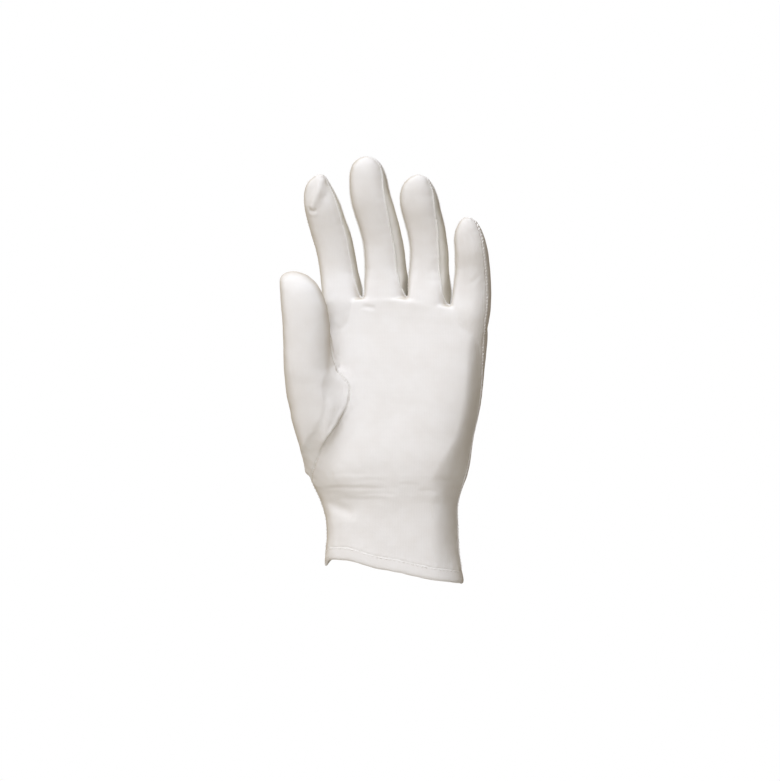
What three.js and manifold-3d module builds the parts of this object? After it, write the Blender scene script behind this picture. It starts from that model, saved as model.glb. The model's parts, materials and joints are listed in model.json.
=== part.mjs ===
// White cotton glove for a left hand, in the form it has when worn. Millimetres.
// +Z runs from the cuff to the fingertips, the palm faces -Y, the little finger is at +X.
// The origin is the middle of the cuff's mouth.
import * as THREE from "three";
import { mergeVertices } from "three/addons/utils/BufferGeometryUtils.js";
import Module from "manifold-3d";

const wasm = await Module();
wasm.setup();

// Cloth, hem and seams
const CLOTH = 1.2; // knitted cotton, one layer
const HEM_CLOTH = 2.2; // the turned hem, two layers
const HEM_PROUD = 0.5; // how far the hem stands outside the cuff
const HEM_HEIGHT = 7.6;
const SEAM_GAP = 0.3; // clearance between pieces that are sewn together
const FAR = 120; // reaches past the glove on every side

// Section outlines: 2 is an ellipse, more is boxier. The hand grows boxier from the wrist to the knuckles.
const WRIST_SQUARENESS = 2.3;
const KNUCKLE_SQUARENESS = 2.9;
const BOXIER_FROM = 60;
const BOXIER_TO = 140;
const FINGER_SQUARENESS = 2.3;
const HAND_SIDES = 28;
const FINGER_SIDES = 15;

// The fingers bend towards the palm: how far they come forward for each millimetre of height
const LEAN_ROWS = [
  { z: 156, perMm: 0.02 },
  { z: 168, perMm: 0.09 },
  { z: 179, perMm: 0.18 },
  { z: 190, perMm: 0.3 },
  { z: 197, perMm: 0.385 },
  { z: 203, perMm: 0.39 },
  { z: 209, perMm: 0.3 },
  { z: 216, perMm: 0.25 },
  { z: 225, perMm: 0.2 },
  { z: 236, perMm: 0.15 },
];
// The little finger, right of this x, bends over a stretch that starts lower and is shorter by this share
const LITTLE_FROM_X = 34;
const LITTLE_LEAN_START = 146;
const LITTLE_LEAN_SHARE = 1.5;
const LITTLE_STEP = 2; // the cut along the edges changes from one bend to the other over this width

// The side seam moves to its place over this much of the width
const SIDE_SEAM_EASE = 5;
// Heights of the back's cut, close together where the fingers bend
const BACK_LEVELS = [-20, 60, 110, 130, 146, 158, 170, 180, 190, 200, 210, 222, 240];

// Sections of the hand from the cuff's mouth to the knuckles, with the wrist's folds
const HAND_ROWS = [
  { z: 0, x: -0.5, y: 2, halfWidth: 39.7, halfDepth: 18.2 },
  { z: 8, x: -0.9, y: 2, halfWidth: 39, halfDepth: 18 },
  { z: 17, x: -1.1, y: 1.9, halfWidth: 38.1, halfDepth: 17.8 },
  { z: 30, x: -1.5, y: 1.4, halfWidth: 37.8, halfDepth: 17.6 },
  { z: 39.5, x: -2.3, y: 0.8, halfWidth: 39, halfDepth: 18 },
  { z: 45.5, x: -2.9, y: 0.4, halfWidth: 41.2, halfDepth: 18.6 },
  { z: 48.5, x: -3.2, y: 0.3, halfWidth: 42.5, halfDepth: 18.9 },
  { z: 51.5, x: -3.4, y: 0.2, halfWidth: 44, halfDepth: 19.3 },
  { z: 56, x: -3, y: 0, halfWidth: 45.4, halfDepth: 19.6 },
  { z: 74, x: -0.6, y: 0, halfWidth: 45.9, halfDepth: 19.5 },
  { z: 96, x: 2.4, y: 0, halfWidth: 47.5, halfDepth: 17.6 },
  { z: 118, x: 4.1, y: 0, halfWidth: 48.4, halfDepth: 15.6 },
  { z: 132, x: 5.2, y: 0, halfWidth: 48.6, halfDepth: 14.4 },
  { z: 142, x: 6.1, y: 0, halfWidth: 48.1, halfDepth: 13.3 },
  { z: 149, x: 6.6, y: 0, halfWidth: 46.4, halfDepth: 12 },
  { z: 152.6, x: 6.6, y: 0, halfWidth: 42.6, halfDepth: 10.4 },
  { z: 154.6, x: 5.4, y: 0, halfWidth: 32, halfDepth: 7.4 },
  { z: 155.4, x: 3, y: 0, halfWidth: 0, halfDepth: 0 },
];

// Each finger starts inside the hand. Its last row, with no width, is the fingertip.
const FINGERS = {
  index: [
    { z: 132, x: -28.5, halfWidth: 8.4, halfDepth: 8 },
    { z: 145, x: -29.1, halfWidth: 11, halfDepth: 12.2 },
    { z: 152, x: -29.7, halfWidth: 11.1, halfDepth: 12.2 },
    { z: 160, x: -30.6, halfWidth: 10.7, halfDepth: 11.3 },
    { z: 171, x: -32.1, halfWidth: 10.5, halfDepth: 10.4 },
    { z: 182, x: -33.6, halfWidth: 10.6, halfDepth: 10 },
    { z: 192, x: -35.7, halfWidth: 10.8, halfDepth: 9.8 },
    { z: 201, x: -37.7, halfWidth: 10.5, halfDepth: 9.4 },
    { z: 208, x: -38.9, halfWidth: 9.9, halfDepth: 8.9 },
    { z: 213.5, x: -39.7, halfWidth: 8.7, halfDepth: 8 },
    { z: 218.3, x: -40, halfWidth: 6.7, halfDepth: 6.2 },
    { z: 222, x: -39.3, halfWidth: 4, halfDepth: 3.6 },
    { z: 224.2, x: -37.9, halfWidth: 0, halfDepth: 0 },
  ],
  middle: [
    { z: 132, x: -4, halfWidth: 9.4, halfDepth: 8.6 },
    { z: 145, x: -4.1, halfWidth: 11.8, halfDepth: 12.8 },
    { z: 152, x: -4.2, halfWidth: 11.8, halfDepth: 12.8 },
    { z: 160, x: -4.3, halfWidth: 11.4, halfDepth: 11.9 },
    { z: 172, x: -4.4, halfWidth: 11.4, halfDepth: 10.8 },
    { z: 184, x: -4.8, halfWidth: 11.3, halfDepth: 10.4 },
    { z: 195, x: -6.3, halfWidth: 11.4, halfDepth: 10.2 },
    { z: 205, x: -8.4, halfWidth: 11.4, halfDepth: 9.9 },
    { z: 214, x: -10, halfWidth: 10.9, halfDepth: 9.6 },
    { z: 222.3, x: -10.7, halfWidth: 10.3, halfDepth: 9 },
    { z: 228.5, x: -11.1, halfWidth: 8.7, halfDepth: 7.6 },
    { z: 232.3, x: -11.3, halfWidth: 5.7, halfDepth: 4.8 },
    { z: 234.3, x: -11.3, halfWidth: 0, halfDepth: 0 },
  ],
  ring: [
    { z: 132, x: 19.9, halfWidth: 9, halfDepth: 8.4 },
    { z: 145, x: 20.4, halfWidth: 11.4, halfDepth: 12.6 },
    { z: 152, x: 20.5, halfWidth: 11.3, halfDepth: 12.5 },
    { z: 160, x: 20.7, halfWidth: 10.9, halfDepth: 11.5 },
    { z: 171, x: 20.7, halfWidth: 10.9, halfDepth: 10.3 },
    { z: 181, x: 21.2, halfWidth: 10.7, halfDepth: 10 },
    { z: 190, x: 20.7, halfWidth: 10.8, halfDepth: 9.8 },
    { z: 199, x: 19.4, halfWidth: 10.9, halfDepth: 9.6 },
    { z: 207, x: 18.1, halfWidth: 10.9, halfDepth: 9.3 },
    { z: 213.5, x: 17.7, halfWidth: 10, halfDepth: 8.6 },
    { z: 218.4, x: 17.8, halfWidth: 8.1, halfDepth: 7 },
    { z: 222.1, x: 18.2, halfWidth: 5, halfDepth: 4.2 },
    { z: 223.9, x: 18.5, halfWidth: 0, halfDepth: 0 },
  ],
  little: [
    { z: 124, x: 43, halfWidth: 7, halfDepth: 6.4 },
    { z: 138, x: 44, halfWidth: 10, halfDepth: 10.6 },
    { z: 147, x: 44.9, halfWidth: 10.6, halfDepth: 11.2 },
    { z: 154, x: 45.7, halfWidth: 10.4, halfDepth: 10.4 },
    { z: 163, x: 46.4, halfWidth: 10, halfDepth: 9.7 },
    { z: 172, x: 47.1, halfWidth: 9.5, halfDepth: 9.1 },
    { z: 180, x: 47.3, halfWidth: 9.2, halfDepth: 8.8 },
    { z: 187.5, x: 46.8, halfWidth: 8.7, halfDepth: 8.1 },
    { z: 193, x: 46.5, halfWidth: 7.2, halfDepth: 6.7 },
    { z: 197.3, x: 46.5, halfWidth: 4.7, halfDepth: 4.3 },
    { z: 200.1, x: 46, halfWidth: 0, halfDepth: 0 },
  ],
};

// The thumb stands in front of the palm, so its rows give y too
const THUMB_ROWS = [
  { z: 50, x: -39.5, y: -1, halfWidth: 4, halfDepth: 9 },
  { z: 54, x: -42.6, y: -1.6, halfWidth: 4.4, halfDepth: 9.6 },
  { z: 57.5, x: -46, y: -2.6, halfWidth: 4.9, halfDepth: 9.8 },
  { z: 62, x: -44.9, y: -3.8, halfWidth: 6.4, halfDepth: 11.2 },
  { z: 72, x: -43, y: -7.3, halfWidth: 9.4, halfDepth: 12.2 },
  { z: 81, x: -41.4, y: -9.8, halfWidth: 13, halfDepth: 13.2 },
  { z: 90, x: -40.2, y: -11.6, halfWidth: 15.9, halfDepth: 13.9 },
  { z: 99, x: -41.5, y: -13.4, halfWidth: 15.8, halfDepth: 13.9 },
  { z: 108, x: -43.1, y: -15.5, halfWidth: 14.8, halfDepth: 13.2 },
  { z: 116, x: -44.3, y: -17.6, halfWidth: 13.7, halfDepth: 12.4 },
  { z: 126, x: -44.5, y: -19.5, halfWidth: 13.4, halfDepth: 11.8 },
  { z: 137, x: -44.7, y: -21, halfWidth: 13.6, halfDepth: 11.5 },
  { z: 148, x: -45.7, y: -22.2, halfWidth: 13.1, halfDepth: 11.1 },
  { z: 156.5, x: -47, y: -22.9, halfWidth: 12, halfDepth: 10.4 },
  { z: 162.5, x: -48.7, y: -23.2, halfWidth: 10.8, halfDepth: 9 },
  { z: 167, x: -50.8, y: -23.2, halfWidth: 8.4, halfDepth: 6.6 },
  { z: 170.4, x: -52.1, y: -23.2, halfWidth: 0, halfDepth: 0 },
];

// The cuff's mouth is cut aslant. Height of its edge by the angle round the mouth, from +X towards +Y.
const MOUTH_EDGE = [
  { angle: 0, lift: -4.2 },
  { angle: 45, lift: -1.6 },
  { angle: 90, lift: 4.2 },
  { angle: 125, lift: 8.6 },
  { angle: 155, lift: 9.6 },
  { angle: 173, lift: 7.2 },
  { angle: 188, lift: 4.9 },
  { angle: 200, lift: 7.2 },
  { angle: 212, lift: 8.5 },
  { angle: 232, lift: 8.6 },
  { angle: 270, lift: 3.2 },
  { angle: 315, lift: -2.4 },
  { angle: 360, lift: -4.2 },
];
const MOUTH_LEVEL_FROM = 36; // above this the slant has died out

// Where the palm turns to the little finger's side, seen from a little to the thumb's side of straight in front.
// A place to the right, how steeply the cloth turns away there and how softly.
const VIEW_TURN_DEG = 16;
const CORNER_ROWS = [
  { z: 0, place: 30.5, slope: 0.8, soft: 8 },
  { z: 8, place: 29.5, slope: 0.9, soft: 8 },
  { z: 20, place: 27.5, slope: 1.2, soft: 7 },
  { z: 31, place: 27.5, slope: 1.3, soft: 6 },
  { z: 42, place: 27, slope: 1.4, soft: 6 },
  { z: 53, place: 27, slope: 1.4, soft: 8 },
  { z: 64.5, place: 32, slope: 1.6, soft: 6 },
  { z: 76, place: 36.5, slope: 1.9, soft: 4 },
  { z: 87, place: 40, slope: 2, soft: 4 },
  { z: 98, place: 41.8, slope: 1.9, soft: 3 },
  { z: 109, place: 42.6, slope: 1.7, soft: 3 },
  { z: 132, place: 44, slope: 1.1, soft: 3 },
  { z: 146, place: 45.5, slope: 0.4, soft: 3 },
  { z: 152, place: 46.5, slope: 0, soft: 3 },
];
// The wrist's dent under the heel of the thumb, seen the same way
const WRIST_DENT = { across: -33, z: 39, halfWidth: 14, halfHeight: 9, depth: 3.2 };

// The knuckle line drops towards the little finger
const KNUCKLE_DROP_PER_MM = 0.14;
const KNUCKLE_DROP_FROM_X = 6;
const KNUCKLE_DROP_START = 118;
const KNUCKLE_DROP_END = 150;

// The little finger's side seam lies forward of the middle of the glove's edge
const SIDE_SEAM = [
  { z: -20, insideX: 20, forward: -7 },
  { z: 60, insideX: 25, forward: -7 },
  { z: 110, insideX: 35, forward: -4 },
  { z: 130, insideX: 40, forward: 0.5 },
  { z: 142, insideX: 44, forward: 4.6 },
  { z: 160, insideX: 47, forward: 4.6 },
  { z: 184, insideX: 47, forward: 4.2 },
  { z: 197, insideX: 47, forward: 1.4 },
  { z: 210, insideX: 47, forward: 0 },
];

// A strip between two fingers, in shares of the finger's half depth, by distance below the fingertip
const STRIP_EDGES = [
  { below: 100, frontRight: 0.76, frontLeft: 0.45, back: 0.6 },
  { below: 40, frontRight: 0.76, frontLeft: 0.45, back: 0.6 },
  { below: 14, frontRight: 0.52, frontLeft: 0.32, back: 0.42 },
  { below: 4, frontRight: 0.2, frontLeft: 0.16, back: 0.18 },
  { below: 0, frontRight: 0.1, frontLeft: 0.1, back: 0.1 },
];
const INDEX_FRONT_SHARE = 0.7; // the strip's front edge lies further back on the index finger
const STRIP_BELOW_CROTCH = 9;
const STRIP_AT_CROTCH = 0.22; // between the fingers the strips narrow to this share of their width
const STRIP_WIDENS = 9; // above the crotch
const DOME_HEIGHT = 12; // the rounded end of a fingertip
const STRIPS = [
  { name: "fourchette_index_middle", left: "index", right: "middle", crotch: 154.5 },
  { name: "fourchette_middle_ring", left: "middle", right: "ring", crotch: 155 },
  { name: "fourchette_ring_little", left: "ring", right: "little", crotch: 150 },
];

// The thumb's seam, as seen from the palm side (x, z) and from the side (y, z). The second outline runs
// between the thumb and the palm, turned about Z to follow the palm's round edge.
const THUMB_SEAM_TURN_DEG = -20;
const THUMB_SEAM_TURN_X = -35;
const THUMB_SEAM_FRONT = [
  [-46.6, 55.4],
  [-37, 71],
  [-27, 84],
  [-22, 94],
  [-20.8, 101],
  [-21.4, 107],
  [-25, 111],
  [-28.6, 115],
  [-29, 120],
  [-29, 152],
  [-22, 186],
];
const THUMB_SEAM_SIDE = [
  [3, 46],
  [2, 80],
  [-1, 97],
  [-5, 105],
  [-9, 112],
  [-10.8, 116],
  [-11.3, 126],
  [-11.5, 137],
  [-12, 150],
  [-13, 165],
  [-16, 186],
];

// Value of a column between the rows of a table that is sorted by another column.
function between(rows, sortedBy, wanted, at) {
  const falling = rows[0][sortedBy] > rows[rows.length - 1][sortedBy];
  const sorted = falling ? [...rows].reverse() : rows;
  const next = sorted.findIndex((row) => row[sortedBy] >= at);
  if (next < 0) return sorted[sorted.length - 1][wanted];
  if (next === 0) return sorted[0][wanted];
  const [low, high] = [sorted[next - 1], sorted[next]];
  const share = (at - low[sortedBy]) / (high[sortedBy] - low[sortedBy]);
  return THREE.MathUtils.lerp(low[wanted], high[wanted], share);
}

// How far the lean has added up to at a height.
function leanReach(z) {
  const last = LEAN_ROWS[LEAN_ROWS.length - 1];
  return LEAN_ROWS.slice(1).reduce(
    (reach, high, i) => {
      const low = LEAN_ROWS[i];
      const top = THREE.MathUtils.clamp(z, low.z, high.z);
      return reach + ((low.perMm + between(LEAN_ROWS, "z", "perMm", top)) / 2) * (top - low.z);
    },
    Math.max(0, z - last.z) * last.perMm,
  );
}

// How far a finger has come forward at a height, as a y. The place across tells the little finger.
function bend(z, x) {
  if (x <= LITTLE_FROM_X) return -leanReach(z);
  const from = LEAN_ROWS[0].z + (z - LITTLE_LEAN_START) * LITTLE_LEAN_SHARE;
  return -leanReach(from) / LITTLE_LEAN_SHARE;
}

// How much the aslant mouth raises the cuff at an angle and a height.
function mouthLift(angle, z) {
  const share = 1 - THREE.MathUtils.smoothstep(z, HEM_HEIGHT, MOUTH_LEVEL_FROM);
  return share * between(MOUTH_EDGE, "angle", "lift", THREE.MathUtils.radToDeg(angle));
}

// How much the knuckle line has dropped at a place.
function knuckleDrop(x, z) {
  const share = THREE.MathUtils.smoothstep(z, KNUCKLE_DROP_START, KNUCKLE_DROP_END);
  return share * KNUCKLE_DROP_PER_MM * Math.max(0, x - KNUCKLE_DROP_FROM_X);
}

// Turns the palm to the little finger's side and dents the wrist, straight away from the viewer.
// Front tells how far the point lies forward in its section, from 0 at the back to 1 at the palm.
function modelled(point, front) {
  const turn = THREE.MathUtils.degToRad(VIEW_TURN_DEG);
  const across = point.x * Math.cos(turn) + point.y * Math.sin(turn);
  const [place, slope, soft] = ["place", "slope", "soft"].map((c) => between(CORNER_ROWS, "z", c, point.z));
  const past = across - place;
  const corner = slope * (past > soft ? past : Math.max(past + soft, 0) ** 2 / (4 * soft));
  const fromDent = new THREE.Vector2(
    (across - WRIST_DENT.across) / WRIST_DENT.halfWidth,
    (point.z - WRIST_DENT.z) / WRIST_DENT.halfHeight,
  );
  const moved = front * (corner + WRIST_DENT.depth * Math.exp(-fromDent.lengthSq()));
  point.x -= Math.sin(turn) * moved;
  point.y += Math.cos(turn) * moved;
}

// A closed mesh as a solid that can be joined and cut.
function solidOf(geometry) {
  geometry.deleteAttribute("normal");
  geometry.deleteAttribute("uv");
  const merged = mergeVertices(geometry, 1e-4);
  return new wasm.Manifold(
    new wasm.Mesh({
      numProp: 3,
      vertProperties: merged.attributes.position.array,
      triVerts: new Uint32Array(merged.index.array),
    }),
  );
}

// Solid through rings of points, each anticlockwise from above and the lowest first.
// A last ring of one point closes the solid in a tip.
function skin(rings) {
  const open = rings.filter((ring) => ring.length > 1);
  const middleOf = (ring) =>
    ring.reduce((sum, p) => sum.add(p), new THREE.Vector3()).divideScalar(ring.length);
  const ends = [middleOf(rings[0]), middleOf(rings[rings.length - 1])];
  const sides = rings[0].length;
  const points = [...open.flat(), ...ends];
  const [bottom, top] = [points.length - 2, points.length - 1];
  const lastRing = (open.length - 1) * sides;
  const index = [];
  for (let j = 0; j < sides; j++) {
    const next = (j + 1) % sides;
    index.push(bottom, next, j, top, lastRing + j, lastRing + next);
    for (let base = 0; base < lastRing; base += sides) {
      const [a, b, c, d] = [base + j, base + next, base + sides + next, base + sides + j];
      index.push(a, b, c, a, c, d);
    }
  }
  const geometry = new THREE.BufferGeometry().setFromPoints(points);
  geometry.setIndex(index);
  return solidOf(geometry);
}

// Ring of one section, a rounded box or ellipse. A section without width is one point.
function ovalRing(row, squareness, sides) {
  if (row.halfWidth <= 0) return [new THREE.Vector3(row.x, row.y, row.z)];
  const rounded = (v) => Math.sign(v) * Math.abs(v) ** (2 / squareness);
  return Array.from({ length: sides }, (_, j) => {
    const angle = ringAngle(j, sides);
    const x = row.x + row.halfWidth * rounded(Math.cos(angle));
    const y = row.y + row.halfDepth * rounded(Math.sin(angle));
    return new THREE.Vector3(x, y, row.z);
  });
}

function ringAngle(j, sides) {
  return (2 * Math.PI * (j + 0.5)) / sides;
}

// Rings moved inwards by a thickness, square to the surface that runs through them.
function inset(rings, thickness) {
  return rings.map((ring, i) => {
    if (ring.length === 1) return [ring[0].clone().setZ(ring[0].z - thickness)];
    const below = rings[Math.max(i - 1, 0)];
    const above = rings[Math.min(i + 1, rings.length - 1)];
    return ring.map((point, j) => {
      const next = ring[(j + 1) % ring.length];
      const along = next.clone().sub(ring[(j + ring.length - 1) % ring.length]);
      const up = above[j % above.length].clone().sub(below[j]);
      return point.clone().addScaledVector(along.cross(up).normalize(), -thickness);
    });
  });
}

// The hand's own rings turn to the little finger's side and follow the aslant mouth and dropping knuckles.
function handRing(row) {
  const boxiness = THREE.MathUtils.smoothstep(row.z, BOXIER_FROM, BOXIER_TO);
  const ring = ovalRing(row, THREE.MathUtils.lerp(WRIST_SQUARENESS, KNUCKLE_SQUARENESS, boxiness), HAND_SIDES);
  const backY = row.y + row.halfDepth;
  ring.forEach((point, j) => {
    if (ring.length > 1) modelled(point, THREE.MathUtils.clamp((backY - point.y) / (2 * row.halfDepth), 0, 1));
    point.z += mouthLift(ringAngle(j, HAND_SIDES), row.z) - knuckleDrop(point.x, row.z);
  });
  return ring;
}

// A finger's rings bend forward with it. The thumb's rows give their own y.
function fingerRings(rows) {
  const tipX = rows[rows.length - 1].x;
  return rows.map((row) => ovalRing({ y: bend(row.z, tipX), ...row }, FINGER_SQUARENESS, FINGER_SIDES));
}

// Everything inside the glove's outer face, or inside its cloth where a thickness is given.
function gloveForm(thickness) {
  const hand = inset(HAND_ROWS.map(handRing), thickness);
  if (thickness > 0) hand[0].forEach((point) => point.setZ(point.z - HEM_HEIGHT));
  const digits = [...Object.values(FINGERS), THUMB_ROWS];
  return digits.reduce((form, rows) => form.add(skin(inset(fingerRings(rows), thickness))), skin(hand));
}

// Straight-sided region through level rectangles.
function rectangleLoft(rows) {
  return skin(
    rows.map(({ z, x0, x1, y0, y1 }) => [
      new THREE.Vector3(x0, y0, z),
      new THREE.Vector3(x1, y0, z),
      new THREE.Vector3(x1, y1, z),
      new THREE.Vector3(x0, y1, z),
    ]),
  );
}

// Everything behind the side seams, on the back-of-hand side. Its front runs along the middle of the edge
// and moves to the little finger's side seam over the last stretch.
function backRegion(gap) {
  return skin(
    BACK_LEVELS.map((z) => {
      const seamX = between(SIDE_SEAM, "z", "insideX", z);
      const stepX = Math.min(LITTLE_FROM_X, seamX - SIDE_SEAM_EASE - LITTLE_STEP);
      const front = [-bend(z, 0), -bend(z, FAR), -bend(z, FAR) + between(SIDE_SEAM, "z", "forward", z)];
      return [
        [-FAR, -front[0] - gap],
        [stepX - LITTLE_STEP / 2, -front[0] - gap],
        [stepX + LITTLE_STEP / 2, -front[1] - gap],
        [seamX - SIDE_SEAM_EASE, -front[1] - gap],
        [seamX, -front[2] - gap],
        [FAR, -front[2] - gap],
        [FAR, FAR],
        [-FAR, FAR],
      ].map(([x, y]) => new THREE.Vector3(x, y, z));
    }),
  );
}

// One side of a strip between two fingers, from the middle of the gap to the middle of a finger.
function stripHalf(finger, other, crotch, frontColumn, gap) {
  const frontShare = finger === "index" ? INDEX_FRONT_SHARE : 1;
  const rows = FINGERS[finger];
  const { z: tip, x: tipX } = rows[rows.length - 1];
  const bottom = crotch - STRIP_BELOW_CROTCH;
  const wideFrom = crotch + STRIP_WIDENS;
  const above = rows.map((row) => row.z).filter((z) => z > wideFrom + 1);
  const heights = [bottom, crotch, crotch + STRIP_WIDENS / 2, wideFrom, ...above, tip + 2];
  return rectangleLoft(
    heights.map((z) => {
      const own = between(rows, "z", "x", z);
      const middle = (own + between(FINGERS[other], "z", "x", z)) / 2;
      const [x0, x1] = own < middle ? [own, middle + 1] : [middle - 1, own];
      const widening = THREE.MathUtils.smoothstep(z, crotch - STRIP_WIDENS / 3, wideFrom);
      const share = THREE.MathUtils.lerp(STRIP_AT_CROTCH, 1, widening);
      const depth = share * between(rows, "z", "halfDepth", Math.min(z, tip - DOME_HEIGHT));
      const reach = (column) => depth * between(STRIP_EDGES, "below", column, Math.max(tip - z, 0));
      return {
        z: z === bottom ? z - gap : z,
        x0: x0 - gap,
        x1: x1 + gap,
        y0: bend(z, tipX) - frontShare * reach(frontColumn) - gap,
        y1: bend(z, tipX) + reach("back") + gap,
      };
    }),
  );
}

function stripRegion({ left, right, crotch }, gap) {
  return stripHalf(left, right, crotch, "frontRight", gap).add(
    stripHalf(right, left, crotch, "frontLeft", gap),
  );
}

// Everything on the thumb's side of its seam, cut out of two outlines pushed through each other.
function thumbRegion(gap) {
  const outline = (points) => new THREE.Shape(points.map(([a, b]) => new THREE.Vector2(a, b)));
  const pushed = (shape) => {
    const geometry = new THREE.ExtrudeGeometry(shape, { depth: 2 * FAR, bevelEnabled: false });
    return geometry.translate(0, 0, -FAR);
  };
  const low = THUMB_SEAM_FRONT[0][1] - 3 - gap;
  const high = THUMB_SEAM_FRONT[THUMB_SEAM_FRONT.length - 1][1];
  const front = pushed(
    outline([
      [-FAR, low],
      [THUMB_SEAM_FRONT[0][0] - 2, low],
      ...THUMB_SEAM_FRONT.map(([x, z]) => [x + gap, z - gap / 2]),
      [-FAR, high],
    ]),
  ).rotateX(Math.PI / 2);
  const side = pushed(
    outline([
      [-FAR, THUMB_SEAM_SIDE[0][1]],
      ...THUMB_SEAM_SIDE.map(([y, z]) => [y + gap, z - gap / 2]),
      [-FAR, THUMB_SEAM_SIDE[THUMB_SEAM_SIDE.length - 1][1]],
    ]),
  )
    .rotateX(Math.PI / 2)
    .rotateZ(Math.PI / 2 + THREE.MathUtils.degToRad(THUMB_SEAM_TURN_DEG))
    .translate(THUMB_SEAM_TURN_X, 0, 0);
  return solidOf(front).intersect(solidOf(side));
}

// Solid round the cuff's mouth between two heights above its edge, grown from the cuff's outer face.
// Both ends keep the slant as far in as the rim's width, so that they are level across the cloth.
function mouthBand(low, high, grow, rim) {
  const ring = (z, by) => {
    const row = HAND_ROWS[0];
    const size = (column) => between(HAND_ROWS, "z", column, Math.max(z, 0)) + by;
    return handRing({ ...row, z, halfWidth: size("halfWidth"), halfDepth: size("halfDepth") });
  };
  return skin([ring(low, grow - rim), ring(low, grow), ring(high, grow), ring(high, grow - rim)]);
}

// The band of the cuff up to a height above its edge, wide enough to cut through the cloth.
function hemRegion(height) {
  return mouthBand(-3 * HEM_HEIGHT, height, HEM_CLOTH / 2, 2 * HEM_CLOTH);
}

// The turned hem is a ring of its own, a little outside and inside the cuff's single cloth.
function cuffHem() {
  const hollow = mouthBand(-HEM_HEIGHT, 2 * HEM_HEIGHT, HEM_PROUD - HEM_CLOTH, HEM_CLOTH);
  return mouthBand(0, HEM_HEIGHT, HEM_PROUD, 2 * HEM_CLOTH).subtract(hollow);
}

function cotton(name, color) {
  return new THREE.MeshStandardMaterial({ name, color, roughness: 0.95, metalness: 0 });
}

function piece(name, solid, material) {
  const made = solid.getMesh();
  const geometry = new THREE.BufferGeometry();
  geometry.setAttribute("position", new THREE.BufferAttribute(made.vertProperties, made.numProp));
  geometry.setIndex(new THREE.BufferAttribute(made.triVerts, 1));
  geometry.computeVertexNormals();
  const mesh = new THREE.Mesh(geometry, material);
  mesh.name = name;
  return mesh;
}

function buildGlove() {
  const whiteCotton = cotton("white cotton", 0xf1efeb);
  const hemCotton = cotton("white cotton, two layers", 0xeeebe4);
  const shell = gloveForm(0).subtract(gloveForm(CLOTH));
  const body = shell.subtract(hemRegion(HEM_HEIGHT + SEAM_GAP));
  const aroundThumb = thumbRegion(SEAM_GAP);
  const aroundStrips = STRIPS.map((strip) => stripRegion(strip, SEAM_GAP)).reduce((a, b) => a.add(b));
  const panels = body.subtract(aroundThumb).subtract(aroundStrips);
  const glove = new THREE.Group();
  glove.add(
    piece("palm_panel", panels.subtract(backRegion(SEAM_GAP)), whiteCotton),
    piece("back_panel", panels.intersect(backRegion(0)), whiteCotton),
    ...STRIPS.map((strip) => piece(strip.name, body.intersect(stripRegion(strip, 0)), whiteCotton)),
    piece("thumb", body.intersect(thumbRegion(0)), whiteCotton),
    piece("cuff_hem", cuffHem(), hemCotton),
  );
  return glove;
}

const glove = buildGlove();
export default glove;
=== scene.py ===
"""White knitted cotton glove for a left hand, in the form it has when worn.

The glove's skin is lofted from the sections of the hand, the fingers and the thumb, joined, creased and cut
along its seam lines into the palm, the back, the strips between the fingers and the thumb. Each becomes a
closed layer of cloth, and the seams, the turned hem and the stitches are laid on it.
Sizes are in millimetres up to the moment a mesh is made; +Z runs from the cuff to the fingertips, the palm
faces -Y and the little finger is at +X.
"""

import json
import logging
import math
from dataclasses import dataclass, field
from enum import Enum, IntFlag

import bpy
import numpy as np
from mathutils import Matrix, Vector, noise
from mathutils.bvhtree import BVHTree
from mathutils.kdtree import KDTree

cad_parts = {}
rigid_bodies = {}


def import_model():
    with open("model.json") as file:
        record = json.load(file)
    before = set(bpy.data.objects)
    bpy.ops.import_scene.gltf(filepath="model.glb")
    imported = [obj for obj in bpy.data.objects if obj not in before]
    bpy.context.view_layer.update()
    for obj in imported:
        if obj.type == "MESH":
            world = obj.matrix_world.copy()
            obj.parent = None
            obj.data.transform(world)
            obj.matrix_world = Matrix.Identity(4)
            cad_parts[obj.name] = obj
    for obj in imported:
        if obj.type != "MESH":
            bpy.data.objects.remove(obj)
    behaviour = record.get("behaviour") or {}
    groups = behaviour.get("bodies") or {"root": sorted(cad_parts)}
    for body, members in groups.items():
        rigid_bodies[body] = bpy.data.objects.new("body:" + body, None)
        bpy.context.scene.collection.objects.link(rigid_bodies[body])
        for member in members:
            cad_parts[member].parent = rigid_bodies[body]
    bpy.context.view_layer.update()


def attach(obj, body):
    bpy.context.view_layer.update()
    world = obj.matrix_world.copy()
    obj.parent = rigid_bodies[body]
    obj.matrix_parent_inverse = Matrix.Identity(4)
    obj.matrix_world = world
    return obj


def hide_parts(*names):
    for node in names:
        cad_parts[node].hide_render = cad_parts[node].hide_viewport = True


for leftover in list(bpy.data.objects):
    bpy.data.objects.remove(leftover)
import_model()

LOG = logging.getLogger("glove")
MM = 0.001
BODY = "root"

# Sections of the hand: z, x, y, half width, half depth
HAND_ROWS = (
    (-10, -0.5, 2, 39.7, 18.2), (0, -0.5, 2, 39.7, 18.2), (8, -0.9, 2, 39, 18), (17, -1.1, 1.9, 38.1, 17.8),
    (30, -1.5, 1.4, 37.8, 17.6), (39.5, -2.3, 0.8, 39, 18), (45.5, -2.9, 0.4, 41.2, 18.6),
    (48.5, -3.2, 0.3, 42.5, 18.9), (51.5, -3.4, 0.2, 44, 19.3), (56, -3, 0, 45.4, 19.6),
    (64, -1.8, 0, 46, 19.9), (74, -0.6, 0, 45.9, 19.5), (96, 2.4, 0, 47.5, 17.6), (118, 4.1, 0, 48.4, 15.6),
    (132, 5.2, 0, 48.6, 14.4), (142, 6.1, 0, 48.1, 13.5), (149, 6.6, -0.2, 46.4, 13.1),
    (152.4, 6.6, -0.9, 43, 12.4), (154.2, 5.4, -2.7, 36, 10.6), (155.4, 3, -6.5, 0, 0),
)

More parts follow.
